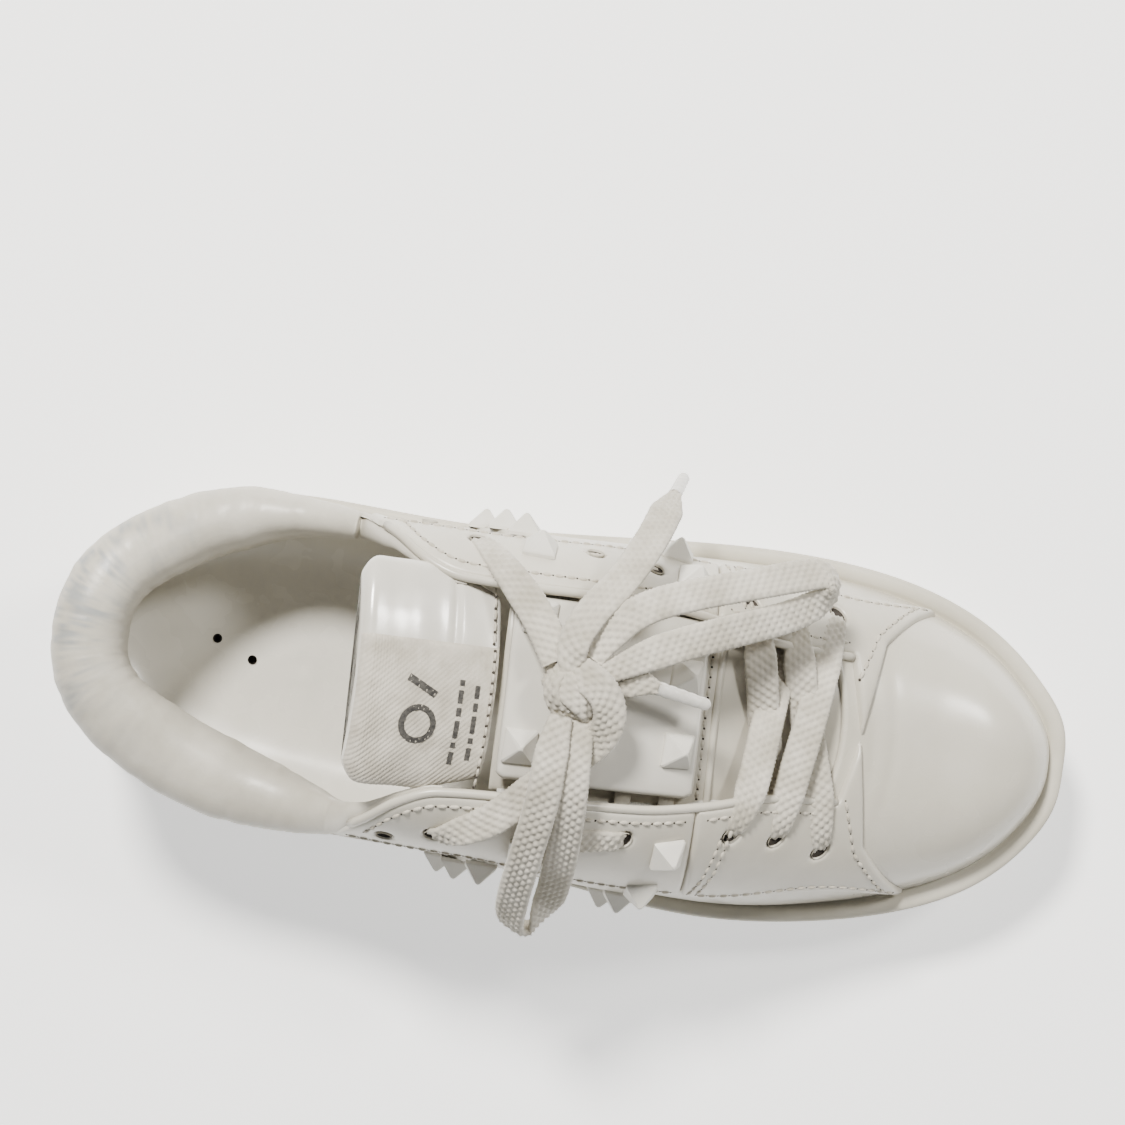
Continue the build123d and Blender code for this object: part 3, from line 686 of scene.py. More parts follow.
build("cupsole", cup_points, cup_faces, rubber, hides=("outsole_cup",), slot="cupsole_rubber")

# ---- Vamp -----------------------------------------------------------------------------------
THETAS, VAMP_ROWS = 110, 90
vamp_theta = np.linspace(0.0, math.pi, THETAS)
side_of = np.where(vamp_theta < math.pi / 2, 1, -1)
fold = np.where(vamp_theta < math.pi / 2, vamp_theta, math.pi - vamp_theta)
REAR_AT = 228.0
medial_s, lateral_s = s_of("medial", REAR_AT), s_of("lateral", REAR_AT)
reach_at = np.where(side_of > 0, abs(outline(medial_s)[1] - ridge(REAR_AT)),
                    abs(outline(lateral_s)[1] - ridge(REAR_AT)))
out_at, z_at = section(REAR_AT, reach_at, fold)
seam_x = np.interp(z_at, (10, 46, 56, 60), (243, 232, 224, 219.5))
arc_x = 219.5 + 4.5 * np.clip(1 - (out_at / 21) ** 2, 0, 1)
vamp_rear = np.where(out_at < 21, arc_x, seam_x)


def vamp_surface(xs, thetas, lift=0.0):
    """The toe's skin, by x and an angle from the inner wall's base over the ridge."""
    xs, thetas = np.broadcast_arrays(np.asarray(xs, float), np.asarray(thetas, float))
    bent = np.where(thetas < math.pi / 2, thetas, math.pi - thetas)
    sign = np.where(thetas < math.pi / 2, 1.0, -1.0)
    ym, yl = (np.interp(xs, *outline(np.linspace(heel, TIP_S, 2500))) for heel in (0, OUTLINE_LENGTH))
    reach = np.where(sign > 0, ym - ridge(xs), ridge(xs) - yl)
    out, z = section(xs, np.maximum(reach, 0), np.clip(bent, 0, math.pi / 2))
    return np.stack([xs, ridge(xs) + sign * out, z], -1)


part = np.sin(np.linspace(0, 1, VAMP_ROWS) * math.pi / 2)[:, None]
vamp_x = vamp_rear[None] + (TIP_X - 0.01 - vamp_rear[None]) * part
vamp_points = vamp_surface(vamp_x, np.broadcast_to(vamp_theta, vamp_x.shape))
flat_vamp = vamp_points.reshape(-1, 3)
up = unit(np.cross(np.gradient(vamp_points, axis=0), np.gradient(vamp_points, axis=1)))
if up[VAMP_ROWS // 3, THETAS // 2, 2] < 0:
    up = -up
fade = np.clip((255 - flat_vamp[:, 0]) / 12, 0, 1)
folds = crease(flat_vamp) * (0.15 + 0.85 * fade)
cross_folds = sum(
    -0.35 * np.exp(-(((flat_vamp[:, 0] - x0) + 2.0 * np.sin(flat_vamp[:, 1] * 0.09 + x0)) / 1.5) ** 2)
    for x0 in (231.5, 237.5)) * fade * np.clip(1 - np.abs(flat_vamp[:, 1]) / 30, 0, 1)
vamp_points = (flat_vamp + up.reshape(-1, 3) * (folds + cross_folds)[:, None]).reshape(vamp_points.shape)
lip = vamp_points[0] - up[0] * 1.8
vamp_all = np.concatenate([lip[None], vamp_points]).reshape(-1, 3)
build("vamp_toe", vamp_all, grid_faces(VAMP_ROWS + 1, THETAS), toe_leather,
      hides=("vamp", "toe_puff", "vamp_lining"), slot="upper_leather")

# ---- Quarters, heel patch, stays and straps -------------------------------------------------
BOTTOM_Z = 21.0
TOP_FRONT = 90.5


def bottom_run(side, x0, x1, step=6.0, z=BOTTOM_Z):
    xs = np.linspace(x0, x1, max(2, int(abs(x1 - x0) / step)))
    return [spot(side, x, z=z + float(toe_rise(x))) for x in xs]


BAND = 13.0
for side in ("lateral", "medial"):
    sign = SIGN[side]
    bottom = [(0.0, 10.5)] + bottom_run(side, 6.5, 240)
    front = line_at(side, ((240, 24), (236, 40), (231, 50), (226, 58)))
    edge = [facing(side, x) for x in np.linspace(222, TOP_FRONT + 1, 34)]
    top = [spot(side, x, z=float(topline(x)) - 3) for x in (88.5, 86, 82, 78, 72, 66, 60, 52, 44, 36,
                                                           28, 20, 14, 9, 6.5)]
    top.append((0.0, float(topline(5)) - 13))
    loop = np.array(bottom + front + edge + top)
    eyes = [eye_loop(side, i) for i in range(7)]
    lay(f"quarter_{side}_skin", loop, 0.0, 0.01, 1.0, leather, holes=eyes, creased=True,
        hides=(f"quarter_{side}", f"backer_{side}"), slot="upper_leather")

    # The eyestay, in a rear and a front piece, with a wing down to the rim.
    rear_edge = [facing(side, x, 0.8) for x in np.linspace(184, 92.5, 30)]
    rear_tip = line_at(side, ((89.5, 82.0), (86.5, 74.5), (86.5, 72.0), (89.0, 72.5)))
    rear_low = [spot(side, x, z=float(wing_line(x))) for x in np.linspace(93, 184, 26)]
    rear_loop = np.array(rear_edge + rear_tip + rear_low)
    lay(f"eyestay_rear_{side}_panel", rear_loop, 0.0, OVERLAY, 1.5, overlay_leather, holes=eyes[3:],
        hides=(f"eyestay_rear_{side}",), slot="overlay_leather")
    wing_front = ((250, 31), (246.5, 37), (243, 42), (238.5, 48), (234, 53), (229, 60))
    front_low = [spot(side, x, z=float(wing_line(x))) for x in np.linspace(184, 247, 20)]
    front_loop = np.array(front_low + [spot(side, 250.5, z=30.2)]
                          + line_at(side, wing_front)
                          + [facing(side, x, 0.8) for x in np.linspace(224, 184, 14)])
    lay(f"eyestay_front_{side}_panel", front_loop, 0.1, OVERLAY + 0.25, 1.5, overlay_leather,
        holes=eyes[:3], hides=(f"eyestay_front_{side}",), slot="overlay_leather")

    # Studded strap down the side, under the eyestay's edge.
    strap_rear = ((101, 24), (113, 44), (122, 60), (128, 72), (131, 80))
    strap_front = ((179.5, 74), (176, 60), (166, 34), (156, 24))
    strap_loop = np.array(line_at(side, strap_rear) + line_at(side, strap_front)
                          + bottom_run(side, 152, 102, z=22.5))
    lay(f"stud_strap_{side}_panel", strap_loop, 0.0, 1.3, 1.3, overlay_leather,
        hides=(f"stud_strap_{side}",), slot="overlay_leather")

    inner_rear = [facing(side, x, 3.6) for x in np.linspace(181, 96, 30)]
    low_rear = [spot(side, x, z=float(wing_line(x)) + 2.6) for x in np.linspace(91, 181, 30)]
    seam = [[spot(side, x + d, z=z) for x, z in ((184, 60), (187, 68), (190, 76))] for d in (1.6, 4.2)]
    low_front = [spot(side, x, z=float(wing_line(x)) + 2.8) for x in np.linspace(188, 246, 24)]
    up_front = [spot(side, x - 3.0, z=z) for x, z in wing_front[1:]]
    inner_front = [facing(side, x, 3.6) for x in np.linspace(222, 187, 14)]
    stitches(f"stitching_eyestay_{side}", [inner_rear, low_rear], OVERLAY)
    stitches(f"stitching_wing_{side}", [low_front, up_front, inner_front] + seam, OVERLAY + 0.3)
    strap_lines = [[spot(side, x + 2.6, z=z) for x, z in strap_rear[:4]],
                   [spot(side, x - 2.6, z=z) for x, z in strap_front[1:3]]]
    stitches(f"stitching_strap_{side}", strap_lines, 1.3)

    # The rolled edge along the throat.
    roll_sv = np.array([facing(side, x, 0.3) for x in np.linspace(224, 92, 70)])
    roll = skin(roll_sv[:, 0], roll_sv[:, 1], np.full(len(roll_sv), 0.7))[0]
    points, faces = tube_along(roll, 1.25)
    build(f"facing_roll_{side}", points, faces, leather, slot="upper_leather")

    # Eyelet walls; the lower wall and the end of each hole are painted shade.
    points, faces, marks = [], [], []
    for ring in eyes:
        n, c = len(ring), ring.mean(0)
        rings = []
        for lift, shrink in ((OVERLAY + 0.1, 1.0), (1.1, 0.96), (0.35, 0.9)):
            r = c + (ring - c) * shrink
            rings.append(skin(r[:, 0], r[:, 1], np.full(n, lift))[0])
        add_well(points, faces, rings)
        marks += [0] * n + [1] * (n + 1)
    build(f"eyelet_walls_{side}", points, faces, [overlay_leather, painted_hole_shade], finishes=marks,
          slot="overlay_leather")

heel_loop = []
for side, xs in (("medial", (64, 52, 40, 28, 18, 11, 7)), ("lateral", (7, 11, 18, 28, 40, 52, 64))):
    heel_loop += [spot(side, x, z=float(topline(x)) - BAND + 1) for x in xs]
heel_loop += line_at("lateral", ((67, 56), (70, 45), (72.5, 34), (73.5, 24)))
heel_loop += [spot("lateral", x, z=22.5) for x in (66, 54, 42, 30, 20, 12, 7)]
heel_loop += [spot("medial", x, z=22.5) for x in (7, 12, 20, 30, 42, 54, 66)]
heel_loop += line_at("medial", ((73.5, 24), (72.5, 34), (70, 45), (67, 56)))
lay("heel_patch_panel", np.array(heel_loop), 0.0, OVERLAY, 1.5, overlay_leather,
    hides=("heel_patch",), slot="overlay_leather")
stitches("stitching_heel", [line_at(side, ((64.5, 56), (67.5, 45), (70, 34), (71, 27)))
                            for side in ("lateral", "medial")], OVERLAY)

# ---- Collar ---------------------------------------------------------------------------------
COLLAR_END = 116.0
collar_from, collar_to = float(s_of("lateral", COLLAR_END)), float(s_of("medial", COLLAR_END))
collar_s = np.linspace(collar_from, collar_to, 420)
BULGE_X = (5, 20, 37, 52, 70, 92)
BULGE = {1: (0.6, 2.0, 3.2, 3.4, 1.6, 0.0), -1: (0.6, 2.4, 3.8, 4.2, 3.0, 0.2)}
ROLL_X = (4, 30, 50, 66, 80, 92, 100, 116)
HEEL_ROLL = 18.5
ROLL = {1: (18.5, 16.5, 14, 9.5, 7.5, 5.5, 3.6, 2.0), -1: (18.5, 19, 18, 15.0, 11.0, 6.5, 3.8, 2.0)}
# Across the roll, as (share of the roll's width inward, height over the top edge, share of bulge).
ROLL_PROFILE = ((0.0, -16.0, 0.1), (-0.02, -13.6, 0.35), (0.06, -13.1, 0.35), (0.05, -12.5, 0.4),
                (-0.04, -11.6, 0.6), (-0.07, -8.0, 1.0), (-0.04, -4.6, 1.0), (0.04, -2.2, 0.95),
                (0.16, -0.4, 0.85), (0.32, 0.7, 0.7), (0.5, 0.9, 0.6), (0.68, 0.2, 0.5),
                (0.84, -1.6, 0.4), (0.95, -4.4, 0.3), (1.0, -8.0, 0.2), (1.0, -12.5, 0.1),
                (0.96, -18.0, 0.0), (0.86, -25.0, 0.0))
FLOOR_PROFILE = ((0.72, 38.0), (0.6, 33.0), (0.5, 29.5), (0.5, 26.0))
collar_points, collar_wear = [], []


def edge_height(inner, x):
    """The height of the upper's open edge: the top line, and then the throat's edge."""
    if x < 84:
        return float(topline(x))
    side = "medial" if inner > 0 else "lateral"
    s, v = spot(side, x, y=THROAT_CENTRE + inner * float(throat_gap(x)))
    throat = float(skin(np.array([s]), np.array([v]))[0][0, 2])
    return min(float(topline(x)), throat) if x < 96 else throat


for s in collar_s:
    x, y = (float(q) for q in outline(s))
    middle = float(ridge(x))
    n = plan_normal(s)
    inner = 1 if y > middle else -1
    top = edge_height(inner, x)
    swell = float(np.interp(x, BULGE_X, BULGE[inner]))
    blend = np.clip(abs(y - middle) / 12, 0, 1)
    roll = HEEL_ROLL + (float(np.interp(x, ROLL_X, ROLL[inner])) - HEEL_ROLL) * blend
    squeeze = np.clip(roll / 11, 0.2, 1)
    levels = [(a, top + h * squeeze, b) for a, h, b in ROLL_PROFILE]
    levels += [(a, z, 0.0) for a, z in FLOOR_PROFILE]
    out, zz = section(x, abs(y - middle), theta_fine)
    heel = math.exp(-((s - 12) / 30) ** 2)
    for k, (across, z, share) in enumerate(levels):
        reach = float(np.interp(min(z, top), zz, out))
        crinkle = ripple(s * 0.24, k * 0.22, 3.1) * 0.34 + ripple(s * 0.55, k * 0.3, 9.7) * 0.16
        crinkle *= 1.0 if 4 < k < 16 else 0.15
        shift = swell * share - across * roll + crinkle * 0.8
        collar_points.append((x + n[0] * shift, middle + math.copysign(reach, y - middle) + n[1] * shift,
                              z + crinkle * 0.5))
        spots = ripple(s * 0.16, k * 0.45, 1.7) + 1.1 * ripple(s * 0.62, k * 1.1, 5.2)
        band = math.exp(-((k - 8) / 3.6) ** 2)
        collar_wear.append(np.clip(heel * band * (0.16 + 2.0 * spots), 0, 0.75))
levels_count = len(ROLL_PROFILE) + len(FLOOR_PROFILE)
collar = build("collar_roll", collar_points, grid_faces(len(collar_s), levels_count), collar_leather,
               hides=("collar_cover", "collar_foam", "quarter_lining_lateral", "quarter_lining_medial"),
               slot="upper_leather", wear=collar_wear)
smoother = collar.modifiers.new("smooth", "SUBSURF")
smoother.levels = smoother.render_levels = 1
band_line = []
for side in ("lateral", "medial"):
    xs = np.linspace(88, 6.5, 40)
    band_line.append([spot(side, x, z=float(topline(x)) - BAND - 1.6) for x in xs])
stitches("stitching_collar", band_line, 0.25, pitch=3.0, thick=0.36)

# ---- Inside -----------------------------------------------------------------------------------
lining_x = np.linspace(80, 246, 60)
lining_theta = np.linspace(math.radians(4), math.radians(176), 64)
gx, gt = np.meshgrid(lining_x, lining_theta, indexing="ij")
shell = vamp_surface(gx, gt)
normal = unit(np.cross(np.gradient(shell, axis=0), np.gradient(shell, axis=1)))
if normal[30, 32, 2] < 0:
    normal = -normal
in_throat = np.abs(shell[..., 1] - THROAT_CENTRE) < np.interp(gx, THROAT_X, THROAT_GAP) + 1
depth = np.where(in_throat & (gx < 232), 11.6, 5.0)
for _ in range(3):
    depth[1:-1, 1:-1] = (depth[:-2, 1:-1] + depth[2:, 1:-1] + depth[1:-1, :-2] + depth[1:-1, 2:]
                         + depth[1:-1, 1:-1] * 2) / 6
shell = shell - normal * depth[..., None]
lining_faces = grid_faces(*gx.shape, flip=True)
corners = shell.reshape(-1, 3)[lining_faces]
low_x, middles = corners[..., 0].min(1), corners.mean(1)
in_mouth = ((low_x < 129) & (middles[:, 2] > 60)
            & (np.abs(corners[..., 1] - THROAT_CENTRE).mean(1)
               < np.interp(middles[:, 0], THROAT_X, THROAT_GAP) + 2))
over_top = (corners[..., 2] - topline(np.clip(corners[..., 0], 0, 96))).max(1)
build("inner_lining", shell.reshape(-1, 3), lining_faces[~in_mouth & ((over_top < -3) | (low_x > 92))],
      knit, hides=("tongue_lining",), slot="lining_textile")

bed_loop = np.stack([loop_x - loop_n[:, 0] * 5.2, loop_y - loop_n[:, 1] * 5.2], 1)
a = np.linspace(0, 2 * math.pi, 16, endpoint=False)
perforations = [np.stack([cx + 1.35 * np.cos(a), cy + 1.35 * np.sin(a)], 1)
                for cx, cy in ((41.8, 5.9), (52.7, 0.8))]
bed, bed_faces, _ = fill(bed_loop, perforations, spacing=3.0, step=2.4, rings=(0.5, 1.2))
rim_distance = edge_distance(bed, resample(bed_loop, 2.4, True))
cup = 7.0 * np.clip(1 - rim_distance / 17, 0, 1) ** 2.4
from_dimple = np.hypot(bed[:, 0] - 67.4, bed[:, 1] - 1.0)
dimple = -0.5 * np.exp(-from_dimple ** 2 / 5.0)
ringed = 0.25 * np.exp(-((from_dimple - 3.6) / 0.8) ** 2)
pressed = ripple(bed[:, 0] * 0.035, bed[:, 1] * 0.045, 2.0) * 0.5
bed_z = 22.9 + toe_rise(bed[:, 0]) + cup + dimple + ringed + pressed
footbed = build("footbed_cover", np.column_stack([bed, bed_z]), bed_faces, insole_leather,
                hides=("footbed",), slot="footbed_cover")
# Short wells under the perforations, painted shade all through.
points, faces = [], []
for ring in perforations:
    add_well(points, faces, [[(x, y, z) for x, y in ring] for z in (23.25, 19.5)])
build("footbed_perforations", points, faces, painted_hole_shade)

# ---- Tongue -----------------------------------------------------------------------------------
def tongue_skin(x, y, depth, lift=0.0):
    """The instep's surface seen from above, at a depth under the upper's skin."""
    x, y = np.asarray(x, float), np.asarray(y, float)
    reach = np.where(y > ridge(x), 45.0, 50.0) + flare(x) - depth * 0.4
    part = np.clip(np.abs(y - ridge(x)) / reach, 0, 0.999)
    base = 10 + toe_rise(x)
    z = base + (crown(x) - base - depth) * (1 - part ** boxy(x)) ** (1 / boxy(x))
    return np.stack([x, y, z + lift], -1)


def tongue_panel(name, loop, depth, height, edge, finish, extra=None, drop=0.0, **facts):
    points, faces, distance = fill(np.array(loop, float))
    lift = bulge(distance, height, edge)
    if extra is not None:
        lift = lift + extra(points)
    solid = tongue_skin(points[:, 0], points[:, 1], depth, lift)
    if drop:
        n = len(resample(np.array(loop, float), 1.3, True))
        start = len(solid)
        solid = np.vstack([solid, solid[:n] - (0, 0, drop)])
        faces = list(map(list, faces)) + [[k, start + k, start + (k + 1) % n, (k + 1) % n]
                                          for k in range(n)]
    return build(name, solid, faces, finish, **facts)


def tongue_waves(points):
    """Soft waves, and the rise to the vamp, which the sheet is stitched under."""
    waves = ripple(points[:, 0] * 0.07, points[:, 1] * 0.05, 4.0) * 0.7
    return waves + 5.2 * np.clip((points[:, 0] - 200) / 22, 0, 1) ** 1.5


tongue_loop = [(128, -25), (150, -26), (184, -25), (205, -21.5), (232, -17), (236, 0), (232, 18),
               (205, 24), (184, 27), (150, 29), (128, 28)]
tongue_panel("tongue_sheet", tongue_loop, 8.0, 0.6, 1.2, leather, extra=tongue_waves,
             hides=("tongue_base",), slot="upper_leather")
STRAP_Y = (-21.5, 27.0)
strap_loop = [(129.5, STRAP_Y[0] + 1.5), (131, STRAP_Y[0]), (181, STRAP_Y[0] - 0.5),
              (182.8, STRAP_Y[0] + 1), (182.8, STRAP_Y[1] - 1.5), (181, STRAP_Y[1]),
              (131, STRAP_Y[1] + 0.5), (129.5, STRAP_Y[1] - 1)]
tongue_panel("tongue_strap_plate", strap_loop, 2.2, 1.6, 1.6, patent, drop=1.2,
             hides=("tongue_strap",), slot="overlay_leather")
pad_loop = [(131, STRAP_Y[0] + 1.5), (181.5, STRAP_Y[0] + 1.5), (181.5, STRAP_Y[1] - 1.5),
            (131, STRAP_Y[1] - 1.5)]
pad = tongue_panel("tongue_padding", pad_loop, 3.2, 0.7, 2.0, foam_finish, drop=5.6,
                   hides=("tongue_pad",), slot="padding_foam")
# A rolled piping runs across the tongue in front of the strap; a row of thread lies between them.
piping_y = np.linspace(-23.5, 26.0, 50)
piping = tongue_skin(186.8 + 0.0008 * (piping_y - 2) ** 2, piping_y, 8.0, 0.7)
points, faces = tube_along(piping, 1.1)
build("tongue_piping", points, faces, leather, slot="upper_leather")


def tongue_surface(x, y, lift):
    solid = tongue_skin(x, y, 7.4, 0.15)
    return solid, np.tile((0.0, 0.0, 1.0), (len(solid), 1))


stitches("stitching_tongue", [[(184.4, -22), (184.0, 2), (184.4, 25)]], 0, pitch=2.8,
         surface=tongue_surface)
# Narrow elastic tabs hold the strap's sides to the stays.
points, faces = [], []
for x, y, way in ((144, STRAP_Y[0], -1), (164, STRAP_Y[0], -1), (176, STRAP_Y[0], -1),
                  (146, STRAP_Y[1], 1), (168, STRAP_Y[1], 1)):
    start = len(points)
    for k in range(5):
        yy = y + way * (-2 + 2.4 * k)
        for dx, dz in ((-2.2, 0), (-1.8, 0.7), (1.8, 0.7), (2.2, 0)):
            points.append(tuple(tongue_skin(x + dx, yy, 4.2 + 0.5 * k, dz)))
    faces += [[start + i for i in f] for f in grid_faces(5, 4)]
build("tongue_tabs", points, faces, lace_finish)

# ---- Tongue top -------------------------------------------------------------------------------
FOLD = np.array([127.6, THROAT_CENTRE, 98.5])
RISE = math.radians(22.5)
LEAF_LENGTH, LEAF_CURVE, LEAF_THICK = 38.5, 75.0, 7.2
back = np.array([-math.cos(RISE), 0, math.sin(RISE)])
over = np.array([math.sin(RISE), 0, math.cos(RISE)])


def leaf(a, b, lift):
    """The leaf's surface: a back from its fold, b across, lift out from its outer skin."""
    a, b, lift = (np.asarray(q, float) for q in (a, b, lift))
    turn = b / LEAF_CURVE
    r = LEAF_CURVE + lift
    sag = r * np.cos(turn) - LEAF_CURVE
    droop = -0.0022 * np.maximum(a - 22, 0) ** 2
    return (FOLD + a[..., None] * back + (r * np.sin(turn))[..., None] * np.array([0, 1.0, 0])
            + (sag + droop)[..., None] * over)


def leaf_width(a, b=-1.0):
    """Half the leaf's width: it reaches further on the medial side."""
    wide = np.where(np.asarray(b) > 0, 34.0, 29.8)
    waist = np.where(np.asarray(b) > 0, 8.0, 5.4)
    return wide - waist * np.clip(1 - a / 16, 0, 1) - 6 * np.clip((a - 32) / 6.5, 0, 1) ** 3


SIDE_ROUND, TOP_ROUND = 0.32, 0.62


def leaf_thick(a):
    """The leaf's thickness, which rounds off at its rear end."""
    end = np.clip((LEAF_LENGTH - a) / 3.4, 0, 1)
    return LEAF_THICK * np.sqrt(np.maximum(0.0, 1 - (1 - end) ** 2)) + 0.01


def leaf_top(a, b):
    """The height of the leaf's upper skin: it rounds down at the rim."""
    c = np.clip(np.abs(b) / leaf_width(a, b), 0, 1) ** (1 / SIDE_ROUND)
    return -LEAF_THICK / 2 + np.sqrt(1 - c ** 2) ** TOP_ROUND * leaf_thick(a) / 2


def leaf_waves(a, b):
    return ripple(a * 0.12, b * 0.09, 7.0) * 0.55


LEAF_ROUND = 72
TURNED = 30.0
leaf_a = np.concatenate([np.linspace(0.6, TURNED, 30),
                         LEAF_LENGTH - 8.5 * np.cos(np.linspace(0.1, math.pi / 2, 16)) ** 1.3])
leaf_points = []
for a_at in leaf_a:
    for k in range(LEAF_ROUND):
        t = 2 * math.pi * k / LEAF_ROUND
        c, up = math.cos(t), math.sin(t)
        b = float(leaf_width(a_at, c)) * math.copysign(abs(c) ** SIDE_ROUND, c)
        h = math.copysign(abs(up) ** TOP_ROUND, up) * float(leaf_thick(a_at)) / 2
        if up > 0:
            seam = -0.9 * math.exp(-((a_at - 13) / 0.8) ** 2) * min(1, max(0, (b - 9) / 3))
            h += float(leaf_waves(a_at, b)) + seam
        leaf_points.append(leaf(a_at, b, -LEAF_THICK / 2 + h))
leaf_faces = capped(len(leaf_a), LEAF_ROUND)
# The leaf's upper side and ends are leather; its underside is lining.
half = LEAF_ROUND / 2
leaf_marks = [0 if min(q % LEAF_ROUND for q in f) < half + 1 and max(q % LEAF_ROUND for q in f) <= half + 2
              else 1 for f in leaf_faces[:-2]] + [0, 0]
top_leaf = build("tongue_top_leaf", leaf_points, leaf_faces, [patent, knit], body="tongue_top",
                 hides=("tongue_top_cover", "tongue_top_foam", "tongue_top_lining"),
                 slot="upper_leather", finishes=leaf_marks)


def leaf_surface(a, b, lift):
    solid = leaf(a, b, lift)
    return solid, np.tile(over, (len(solid), 1))


# The woven label, printed with plain abstract marks. It wraps over the leaf's rear rim.
LABEL_FRONT, LABEL_REAR, LABEL_MEDIAL = 0.8, 38.42, 11.0


def label_lift(a, b):
    edge = np.minimum(a - LABEL_FRONT, LABEL_MEDIAL - b)
    twill = 0.10 * np.sin(2 * math.pi * (a * 0.62 + b * 0.62)) + 0.05 * np.sin(2 * math.pi * a * 1.25)
    puff = ripple(a * 0.10, b * 0.08, 11.0) * 0.5
    return (0.3 + leaf_top(a, b) + 0.7 * np.sqrt(np.clip(edge, 0, 1)) + twill
            + puff * np.clip(edge / 5, 0, 1) + leaf_waves(a, b))


rows, columns = 150, 190
la = LABEL_FRONT + (LABEL_REAR - LABEL_FRONT) * np.sin(np.linspace(0, math.pi / 2, rows)) ** 0.8
la = np.repeat(la[:, None], columns, axis=1)
closer = np.sin(np.linspace(math.pi / 2, 0, columns)) ** 0.8
lb = LABEL_MEDIAL - (LABEL_MEDIAL + leaf_width(la) - 0.12) * closer
build("tongue_top_label", leaf(la, lb, label_lift(la, lb)).reshape(-1, 3), grid_faces(rows, columns),
      ecru, body="tongue_top", hides=("tongue_label",), slot="label_twill")


def label_marks():
    """Generic print: a ring, a slanted dash and two rows of short dashes; no letters."""
    points, faces = [], []

    def strip(line, width):
        line = np.array(line, float)
        t = unit(np.gradient(line, axis=0))
        n = np.stack([-t[:, 1], t[:, 0]], 1) * width / 2
        start = len(points)
        for p, q in zip(line - n, line + n):
            for e in (p, (p + q) / 2, q):
                points.append(leaf(e[0], e[1], float(label_lift(e[0], e[1])) + 0.14))
        faces.extend([[start + i for i in f] for f in grid_faces(len(line), 3)])
    a = np.linspace(0, 2 * math.pi, 40)
    strip(np.stack([21.5 + 4.4 * np.cos(a), -11 + 4.4 * np.sin(a)], 1), 1.6)
    strip(np.stack([np.linspace(17.5, 25.5, 12), np.linspace(-3.0, 1.0, 12)], 1), 1.9)
    for row, a0 in enumerate((10.6, 6.0)):
        b = -21.0 + 1.6 * row
        for k, long in enumerate((3.4, 1.5, 4.6, 2.2, 3.4, 1.5)[: 6 - row]):
            strip(np.stack([np.full(8, a0), np.linspace(b, b + long, 8)], 1), 1.4)
            b += long + 1.2
    return points, faces


points, faces = label_marks()
build("label_print", points, faces, ink, body="tongue_top")
for name, count, b0, b1, lift in (("stitching_label", 40, -26.5, LABEL_MEDIAL - 1, 1.25),
                                  ("stitching_tongue_top", 30, LABEL_MEDIAL + 1, 28, 0.2)):
    stitches(name, [np.stack([np.full(count, 2.2), np.linspace(b0, b1, count)], 1)], lift, pitch=2.8,
             thick=0.4, body="tongue_top", surface=leaf_surface)

# ---- Studs ------------------------------------------------------------------------------------
STUDS = {"lateral": ((177.5, 46), (172.5, 26), (167.5, 9), (163, -5), (139.5, 50),
                     (128, 31), (120.5, 14), (115, 0)),
         "medial": ((176, 47), (171.7, 30), (167, 14), (163, 0), (134, 51), (129, 35),
                    (123, 19), (117, 4))}
STUDS_STRAP = ((177, -9.2), (177, 11), (135, -12.5), (136.5, 22))
EYE_HEIGHT = 40.0
STUD = ((4.6, 0.0), (4.6, 0.9), (4.35, 1.35), (0.75, 5.75), (0.3, 6.0))


def stud(points, faces, place, normal):
    """A four-sided cap with a short skirt; two opposite corners are cut a little."""
    along = np.array([1.0, 0, 0]) - normal * normal[0]
    along = along / np.linalg.norm(along)
    across = np.cross(normal, along)
    rings = []
    for half, height in STUD:
        short = half - min(half * 0.35, 0.45)
        ring = []
        for cx, cy in ((1, 1), (-1, 1), (-1, -1), (1, -1)):
            second = (cx * short, cy * half)
            first = (cx * half, cy * short) if cx * cy > 0 else second
            ring += [place + along * u + across * w + normal * (height - 0.25) for u, w in (first, second)]
        rings.append(ring)
    add_well(points, faces, rings)


def ray_spot(side, x, angle):
    """Where a ray from the shoe's middle meets the skin, at an angle above level."""
    s, ox, out, zz, v = wall(side, x)
    y = ridge(ox) + SIGN[side] * out
    seen = np.arctan2(zz - EYE_HEIGHT, SIGN[side] * (y - THROAT_CENTRE))
    return s, float(np.interp(math.radians(angle), seen, v))


for side, places in STUDS.items():
    points, faces = [], []
    for x, angle in places:
        s, v = ray_spot(side, x, angle)
        place, normal = skin(np.array([s]), np.array([v]), np.array([OVERLAY if angle > 40 else 1.4]))
        stud(points, faces, place[0], normal[0])
    build(f"studs_{side}_caps", points, faces, stud_finish, hides=(f"studs_{side}",),
          slot="stud_plastic", smooth=False)
points, faces = [], []
for x, y in STUDS_STRAP:
    e = 1.0
    p = tongue_skin(x, y, 2.2, 1.6)
    normal = np.cross(tongue_skin(x + e, y, 2.2) - tongue_skin(x - e, y, 2.2),
                      tongue_skin(x, y + e, 2.2) - tongue_skin(x, y - e, 2.2))
    stud(points, faces, p, normal / np.linalg.norm(normal))
build("studs_tongue_caps", points, faces, stud_finish, hides=("studs_tongue",), slot="stud_plastic",
      smooth=False)

# ---- Laces ------------------------------------------------------------------------------------
LACE_WIDTH, LACE_THICK = 9.0, 1.7


